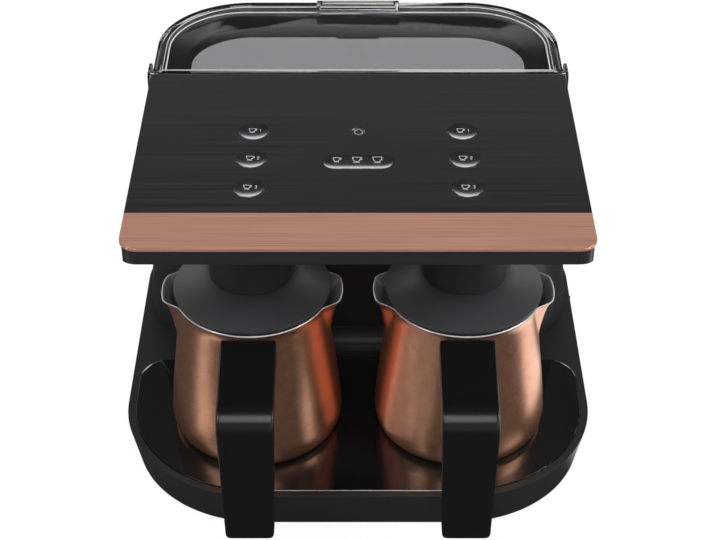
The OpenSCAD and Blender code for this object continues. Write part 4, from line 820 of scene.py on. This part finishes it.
def lay_bead(name, node, line, radius_mm, material_name, closed_loop=False):
    """A bead along points in millimetres, which rides with a solid."""
    piece = grow(new_piece(name, chain(name, line, closed_loop)), bead_tree, {
        "Radius": radius_mm * MM, "Finish": finishes[material_name]})
    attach(piece, owner[node])
    print(name, len(piece.data.polygons), "faces")


print(len(bead_tree.nodes), "nodes lay a bead")

# %% Lay the beads
# the lid's outline, and the height of its pane
LID_HALF, LID_FRONT, LID_BACK, CORNER_R, PANE_Z = 109.2, 51.6, 131.0, 49.0, 182.4
BEAD_START = LID_FRONT + 3.0
BEAD_R, CUT_R, GROUND_R = 0.4, 0.28, 0.2
GROUND_HALF = 58.0


def lid_path(side_in, back_in):
    """Points from the lid's left front corner round its back, inset from the outline."""
    r = CORNER_R - (side_in + back_in) / 2
    x, y = LID_HALF - side_in - r, LID_BACK - back_in - r
    flat = ([(-x - r, BEAD_START)] + arc(-x, y, r, 180, 90, 24) + arc(x, y, r, 90, 0, 24)
            + [(x + r, BEAD_START)])
    return [(px, py, PANE_Z) for px, py in flat]


# the beads' near-white finish is painted highlight, for the lines of light along them
lay_bead("lid_bead_outer", "lid", lid_path(4.5, 4.5), BEAD_R, "polished_bead", True)
lay_bead("lid_bead_inner", "lid", lid_path(6.4, 11.0), BEAD_R, "polished_bead")
low, high = (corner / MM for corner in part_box("top_plate"))
rear_edge = [(x, high.y, high.z - CUT_R) for x in (low.x + 1, high.x - 1)]
lay_bead("panel_cut_edge", "top_plate", rear_edge, CUT_R, "bare_stainless_steel")
# the plate's front edge gets a near-white bead: a painted highlight along the ground edge
low, high = (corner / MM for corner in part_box("cooking_plate"))
front_edge = [(x, low.y, high.z - GROUND_R) for x in (-GROUND_HALF, GROUND_HALF)]
lay_bead("plate_ground_edge", "cooking_plate", front_edge, GROUND_R, "polished_bead")

# %% [markdown]
# ## The catch
#
# In the middle of the collar's inner edge sits a small flat catch for the lid. It's a plain
# block, so a cube is stretched to its size.

# %% Set the catch
CATCH_W, CATCH_D, CATCH_T = 23.4, 3.0, 1.5
CATCH_Y = 102.2
collar_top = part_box("tank_collar")[1].z / MM
shape = bmesh.new()
bmesh.ops.create_cube(shape, size=MM)
for vert in shape.verts:
    x, y, z = vert.co / MM
    vert.co = Vector((x * CATCH_W, CATCH_Y + y * CATCH_D,
                      collar_top - CATCH_T / 2 + z * CATCH_T)) * MM
mesh = bpy.data.meshes.new("collar_catch")
shape.to_mesh(mesh)
shape.free()
catch = new_piece("collar_catch", mesh)
catch.data.materials.append(finishes["matte_black_polyamide"])
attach(catch, owner["tank_collar"])
print("catch at", round(collar_top, 1), "mm")

# %% [markdown]
# ## Screws
#
# Pan head screws with a cross recess hold the bottom cover and the column's back. The frame
# marks each screw with a plain solid. Copying a head to each of them by hand would do for a
# few, but here one head is modelled for each size, and a tree sets a copy on every place.

# %% One pan head screw
def pan_head(head_r, head_h, shaft_r, shaft_l, steps=32):
    """A screw along Z with its head's underside at 0, in millimetres."""
    slot_r, slot_half, slot_deep = head_r * 0.6, head_r * 0.13, head_h * 0.6
    rings = [(0.0, head_h), (head_r * 0.28, head_h), (head_r * 0.5, head_h),
             (head_r * 0.75, head_h), (head_r, head_h * 0.6), (head_r, 0.0), (shaft_r, 0.0),
             (shaft_r, -shaft_l), (0.0, -shaft_l)]
    shape = bmesh.new()
    rows = []
    for r, z in rings:
        row = []
        for i in range(steps):
            a = 2 * math.pi * i / steps
            x, y = r * math.cos(a), r * math.sin(a)
            in_cross = z == head_h and r < slot_r and min(abs(x), abs(y)) < slot_half
            depth = slot_deep if in_cross else 0
            row.append(shape.verts.new((x * MM, y * MM, (z - depth) * MM)))
        rows.append(row)
    for a, b in zip(rows, rows[1:]):
        for i in range(steps):
            j = (i + 1) % steps
            shape.faces.new((a[i], b[i], b[j], a[j]))
    bmesh.ops.remove_doubles(shape, verts=shape.verts, dist=1e-7)
    bmesh.ops.recalc_face_normals(shape, faces=shape.faces)
    mesh = bpy.data.meshes.new("pan_head")
    shape.to_mesh(mesh)
    shape.free()
    return mesh


print("one pan head is modelled")

# %% Find the places and stand a screw on each
tree, given = new_tree("screws_on_places", {
    "Screw": "Object", "Turned": "Rotation", "Metal": "Material"})
screw = add(tree, "GeometryNodeObjectInfo", links={"Object": given["Screw"]})
spread = add(tree, "GeometryNodeInstanceOnPoints", links={
    "Points": given["Geometry"], "Instance": screw.outputs["Geometry"],
    "Rotation": given["Turned"]})
screw_tree = close_tree(tree, spread, given["Metal"])


def islands(node):
    """Corners of the box round each separate solid of a node, always in the same order."""
    shape = bmesh.new()
    shape.from_mesh(nodes[node].data)
    bmesh.ops.remove_doubles(shape, verts=shape.verts, dist=1e-6)
    seen, boxes = set(), []
    for start in shape.verts:
        if start in seen:
            continue
        seen.add(start)
        reached = [start]
        for vert in reached:  # the list grows while the loop walks along it
            near = [edge.other_vert(vert) for edge in vert.link_edges]
            reached += [v for v in near if v not in seen]
            seen.update(near)
        axes = list(zip(*[v.co for v in reached]))
        boxes.append((Vector(map(min, axes)), Vector(map(max, axes))))
    shape.free()
    return boxes


def fit_screws(node, head, shaft, turned, place_of):
    """Stand a real screw in place of each plain one of a node."""
    pattern_screw = new_piece("screw_pattern", pan_head(*head, *shaft))
    mesh = bpy.data.meshes.new(node + "_places")
    mesh.from_pydata([place_of(low, high) for low, high in islands(node)], [], [])
    piece = grow(new_piece(node + "_cross_recess", mesh), screw_tree, {
        "Screw": pattern_screw, "Turned": turned, "Metal": finishes["zinc_plated_steel"]})
    bpy.data.objects.remove(pattern_screw)
    dress(piece, None, node)


print(len(screw_tree.nodes), "nodes stand a screw on each place")

# %% Set the screws
BASE_HEAD, BASE_SHAFT = (2.9, 1.1), (1.4, 8.9)  # radius and height, radius and length
COLUMN_HEAD, COLUMN_SHAFT = (2.6, 1.2), (1.4, 8.6)


def base_place(low, high):
    """Where a base screw's head meets the bottom cover."""
    return (low.x + high.x) / 2, (low.y + high.y) / 2, low.z + BASE_HEAD[1] * MM


def column_place(low, high):
    """Where a column screw's head meets the back panel."""
    return (low.x + high.x) / 2, high.y - COLUMN_HEAD[1] * MM, (low.z + high.z) / 2


fit_screws("base_screws", BASE_HEAD, BASE_SHAFT, (math.pi, 0, 0), base_place)
fit_screws("column_screws", COLUMN_HEAD, COLUMN_SHAFT, (-math.pi / 2, 0, 0), column_place)
print("base and column screws set")

# %% [markdown]
# ## Coil windings
#
# Under each pot lies a flat coil of varnished copper wire, whose field heats the pot through
# the glass. It's a spiral, so a tree draws one with a curve primitive, sweeps a round wire
# along it and sets a copy for each layer. Only someone who takes the bottom cover off sees it,
# so the wire has six sides.

# %% Wind the coils
tree, given = new_tree("wound_coil", {
    "Turns": "Float", "Inner Radius": "Float", "Outer Radius": "Float", "Wire Radius": "Float",
    "Wire": "Material"})
spiral = add(tree, "GeometryNodeCurveSpiral", {"Resolution": 40, "Height": 0.0}, {
    "Rotations": given["Turns"], "Start Radius": given["Inner Radius"],
    "End Radius": given["Outer Radius"]})
wire = add(tree, "GeometryNodeCurvePrimitiveCircle", {"Resolution": 6}, {
    "Radius": given["Wire Radius"]})
wound = add(tree, "GeometryNodeCurveToMesh", {"Fill Caps": True}, {
    "Curve": spiral, "Profile Curve": wire})
layers = add(tree, "GeometryNodeInstanceOnPoints", links={
    "Points": given["Geometry"], "Instance": wound})
coil_tree = close_tree(tree, layers, given["Wire"])
TURNS, HOLE_R, WIRE_R = 9.0, 13.2, 1.2
LAYERS = (0.26, 0.74)  # shares of the coil's height
low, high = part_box("coils")
layer_z = [low.z + (high.z - low.z) * share for share in LAYERS]
pot_x = [(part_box("pot_" + side)[0].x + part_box("pot_" + side)[1].x) / 2
         for side in ("left", "right")]
mesh = bpy.data.meshes.new("coil_places")
mesh.from_pydata([(x, (low.y + high.y) / 2, z) for x in pot_x for z in layer_z], [], [])
outer_r = (high.y - low.y) / 2 - WIRE_R * MM
coil = grow(new_piece("coil_windings", mesh), coil_tree, {
    "Turns": TURNS, "Inner Radius": HOLE_R * MM, "Outer Radius": outer_r,
    "Wire Radius": WIRE_R * MM, "Wire": finishes["varnished_copper_wire"]})
dress(coil, None, "coils")
print(coil.name, len(coil.data.polygons), "faces")

# %% [markdown]
# ## Base and insides
#
# The base shell and the pieces inside already have their final shape, so each solid only gets
# its material. A list does it: a finish and the solids that get it.

# %% Materials for the solids that keep their shape
AS_BUILT = {
    "satin_black_abs": ["base_shell"],
    "natural_nylon": ["coil_carriers", "valve_poppet", "pumps"],
    "black_rubber": ["plate_seal"],
    "red_silicone_rubber": ["socket_seal", "spill_sensors"],
    "milky_silicone_rubber": ["water_hoses"],
    "sintered_ferrite": ["ferrite_bars"],
    "zinc_plated_steel": ["board_screws", "handle_screw_left", "handle_screw_right",
                          "lid_pins", "valve_spring", "key_switches", "plate_sensors"],
    "bare_stainless_steel": ["bracket_left", "bracket_right"],
    "green_circuit_board": ["key_board", "power_board"],
    "extruded_aluminium": ["heatsink"],
    "matte_black_polyamide": ["key_guide", "nozzles", "valve_body", "tank_socket",
                              "fan_frame", "fan_rotor"],
}
for material_name, members in AS_BUILT.items():
    for node in members:
        nodes[node].data.materials.clear()
        nodes[node].data.materials.append(finishes[material_name])
print(sum(map(len, AS_BUILT.values())), "solids keep their own shape")

# %% [markdown]
# ## Studio
#
# A product picture on white needs two rooms at once. Rays from the camera, also through clear
# plastic, see plain white. Mirror rays see a dark room instead, because a white one would turn
# every black surface grey. That room has a bright band low at the back, which lights the front
# of each key's dish, a soft front at the right, and a band of light on the sheet at either
# side of the pots. So the sheet and the world ask of which kind a ray is.

# %% Kinds of rays
def ray_kinds(tree):
    """Two numbers, 1 or 0: straight for rays from the camera, also through clear plastic,
    and mirrored for rays off a glossy surface."""
    path = add(tree, "ShaderNodeLightPath").outputs
    turns = add(tree, "ShaderNodeMath", {"operation": "ADD"}, {
        0: path["Diffuse Depth"], 1: path["Glossy Depth"]})
    unturned = add(tree, "ShaderNodeMath", {"operation": "LESS_THAN", 1: 0.5}, {0: turns})
    to_camera = add(tree, "ShaderNodeMath", {"operation": "MAXIMUM"}, {
        0: path["Is Camera Ray"], 1: path["Is Transmission Ray"]})
    straight = add(tree, "ShaderNodeMath", {"operation": "MULTIPLY"}, {
        0: unturned, 1: to_camera})
    others = add(tree, "ShaderNodeMath", {"operation": "SUBTRACT", 0: 1.0}, {1: straight})
    mirrored = add(tree, "ShaderNodeMath", {"operation": "MULTIPLY"}, {
        0: path["Is Glossy Ray"], 1: others})
    return straight, mirrored


def light_patch(tree, *steps):
    """The product of soft steps. Each is a source, its start and end, and two strengths:
    the light goes smoothly from the first, where the source is at start, to the second."""
    patch = None
    for source, start, end, first, second in steps:
        step = add(tree, "ShaderNodeMapRange", {
            "interpolation_type": "SMOOTHSTEP", "From Min": start, "From Max": end,
            "To Min": first, "To Max": second}, {"Value": source})
        patch = step if patch is None else add(
            tree, "ShaderNodeMath", {"operation": "MULTIPLY"}, {0: patch, 1: step})
    return patch


def band(tree, place, from_x, to_x, middle_y, half_y, strength):
    """A band of light across the sheet, which starts softly between two values of X."""
    off_middle = add(tree, "ShaderNodeMath", {"operation": "SUBTRACT", 1: middle_y}, {
        0: place.outputs["Y"]})
    away = add(tree, "ShaderNodeMath", {"operation": "ABSOLUTE"}, {0: off_middle})
    return light_patch(tree, (place.outputs["X"], from_x, to_x, 0, strength),
                       (away, half_y * 0.5, half_y, 1, 0))


WHITE = "#ffffff"
DIM = 0.06  # how bright the dark room is
print("rays are told apart")

# %% [markdown]
# The sheet is white paper that lies just below the feet. It catches the maker's soft shadow,
# and a share of its own light keeps the rest of it as white as the background.

# %% The white sheet
PAPER_LIGHT, LIGHT_SHARE = 1.06, 0.88
SHEET_HALF, SHEET_GAP = 6.0, 0.0002
sheet = bpy.data.materials.new("white_paper_sheet")
sheet.use_nodes = True
tree = sheet.node_tree
tree.nodes.clear()
straight, mirrored = ray_kinds(tree)
place = add(tree, "ShaderNodeSeparateXYZ", links={
    0: add(tree, "ShaderNodeTexCoord").outputs["Object"]})
right_band = band(tree, place, 0.115, 0.13, -0.012, 0.06, 1.5)
left_band = band(tree, place, -0.13, -0.142, -0.11, 0.032, 1.0)
bands = add(tree, "ShaderNodeMath", {"operation": "ADD"}, {0: right_band, 1: left_band})
mirrored_light = add(tree, "ShaderNodeMath", {"operation": "ADD", 1: DIM}, {0: bands})
pools = add(tree, "ShaderNodeEmission", {"Color": linear(WHITE)}, {"Strength": mirrored_light})
paper = add(tree, "ShaderNodeBsdfDiffuse", {"Color": linear("#f2f2f2")})
glow = add(tree, "ShaderNodeEmission", {"Color": linear(WHITE), "Strength": PAPER_LIGHT})
seen = add(tree, "ShaderNodeMixShader", {0: LIGHT_SHARE}, {1: paper, 2: glow})
direct = add(tree, "ShaderNodeMixShader", links={0: straight, 1: paper, 2: seen})
mixed = add(tree, "ShaderNodeMixShader", links={0: mirrored, 1: direct, 2: pools})
add(tree, "ShaderNodeOutputMaterial", links={"Surface": mixed})

mesh = bpy.data.meshes.new("paper_floor")
corners = [(-1, -1), (1, -1), (1, 1), (-1, 1)]
mesh.from_pydata([(x * SHEET_HALF, y * SHEET_HALF, 0) for x, y in corners], [], [(0, 1, 2, 3)])
mesh.materials.append(sheet)
floor = new_piece("paper_floor", mesh)
floor.location.z = cad_box[0].z - SHEET_GAP
print("the sheet lies", round(-floor.location.z / MM, 2), "mm below the feet")

# %% [markdown]
# The room behind mirror rays is drawn by their direction: bright low at the back, a faint glow
# overhead at the back, and soft at the front, more so at the right. Steps from dark to bright
# are smooth, so that no mirror image has a hard edge.

# %% The room
BACK_BAND, BACK_GLOW = 1.9, 0.1
FILL = 0.35  # the plain light that matte surfaces get from all sides
world = bpy.data.worlds.new("white_studio")
bpy.context.scene.world = world
world.use_nodes = True
tree = world.node_tree
tree.nodes.clear()
straight, mirrored = ray_kinds(tree)
direction = add(tree, "ShaderNodeSeparateXYZ", links={
    0: add(tree, "ShaderNodeTexCoord").outputs["Generated"]}).outputs
aside = add(tree, "ShaderNodeMath", {"operation": "ABSOLUTE"}, {0: direction["X"]})
behind = light_patch(tree, (direction["Z"], 0.12, 0.42, BACK_BAND, DIM),
                     (direction["Y"], 0.0, 0.5, 0, 1))
overhead = light_patch(tree, (aside, 0.0, 0.35, BACK_GLOW, 0), (direction["Y"], 0.2, 0.6, 0, 1))
front = light_patch(tree, (direction["Z"], 0.75, 0.35, 0, 1),
                    (direction["Y"], -0.25, -0.55, 0, 1), (direction["X"], 0.0, 0.5, 0.35, 1.0))
room = add(tree, "ShaderNodeMath", {"operation": "MAXIMUM", 1: DIM}, {0: overhead})
for patch in (behind, front):
    room = add(tree, "ShaderNodeMath", {"operation": "MAXIMUM"}, {0: room, 1: patch})
lit = add(tree, "ShaderNodeMapRange", {"To Min": FILL}, {"Value": mirrored, "To Max": room})
level = add(tree, "ShaderNodeMath", {"operation": "MAXIMUM"}, {0: straight, 1: lit})
back = add(tree, "ShaderNodeBackground", {"Color": linear(WHITE)}, {"Strength": level})
add(tree, "ShaderNodeOutputWorld", links={"Surface": back})
print(len(tree.nodes), "nodes light the room")

# %% [markdown]
# Four softboxes light the maker: a large one above and behind it, one in front and one at each
# side. The upper one is hidden from mirror rays, because its image would lie on the panel. A
# photographer also sets small cards close to the object, each to brighten one place. Here two
# warm cards stand between the pots and give the glow that coppery pots throw on each other,
# one more faces the right pot, and three hang over the spouts. They shine from one side only,
# and no camera sees them.

# %% Lamps and cards
def soft_lamp(name, place, size, power, aim=(0.0, 0.0, 0.1)):
    """A rectangular softbox, which points at the maker's middle unless told otherwise."""
    data = bpy.data.lights.new(name, "AREA")
    data.shape = "RECTANGLE"
    data.size, data.size_y = size
    data.energy = power
    lamp = bpy.data.objects.new(name, data)
    lamp.location = place
    lamp.rotation_euler = (Vector(aim) - Vector(place)).to_track_quat("-Z", "Y").to_euler()
    bpy.context.scene.collection.objects.link(lamp)
    return lamp


above = soft_lamp("lamp_above", (0.0, 0.45, 1.2), (1.2, 0.6), 5.0)
above.visible_glossy = False
soft_lamp("lamp_front", (0.0, -0.63, 0.75), (0.5, 0.4), 2.2)
soft_lamp("lamp_right", (0.8, -0.28, 0.5), (0.35, 0.5), 4.0)
soft_lamp("lamp_left", (-0.7, -0.5, 0.7), (0.35, 0.5), 3.0)


def card(name, place, size, power, aim, colour=WHITE):
    """A small lamp close to the maker, which the camera doesn't see."""
    lamp = soft_lamp(name, place, size, power, aim)
    lamp.data.color = linear(colour)[:3]
    lamp.visible_camera = False


BETWEEN, GLOW_SIZE, WARM = (0.0, -0.055, 0.065), (0.016, 0.085), "#ff9c76"
card("card_left_glow", BETWEEN, GLOW_SIZE, 0.0015, (-1.0, *BETWEEN[1:]), WARM)
card("card_right_glow", BETWEEN, GLOW_SIZE, 0.0011, (1.0, *BETWEEN[1:]), WARM)
for name, x, power in (("left", -0.108, 0.005), ("mid", 0.0, 0.006), ("right", 0.108, 0.005)):
    card("card_spouts_" + name, (x, -0.005, 0.15), (0.03, 0.02), power, (x, -0.045, 0.105))
card("card_right_pot", (0.01, -0.09, 0.063), (0.06, 0.074), 0.0037, (1.01, -0.09, 0.063))
print("studio is lit")

# %% [markdown]
# ## Hand over
#
# The dressed maker has to stay inside the box of its construction, so that box is printed.

# %% Print the box of the construction
print("cad", [round(v, 4) for c in cad_box for v in c])
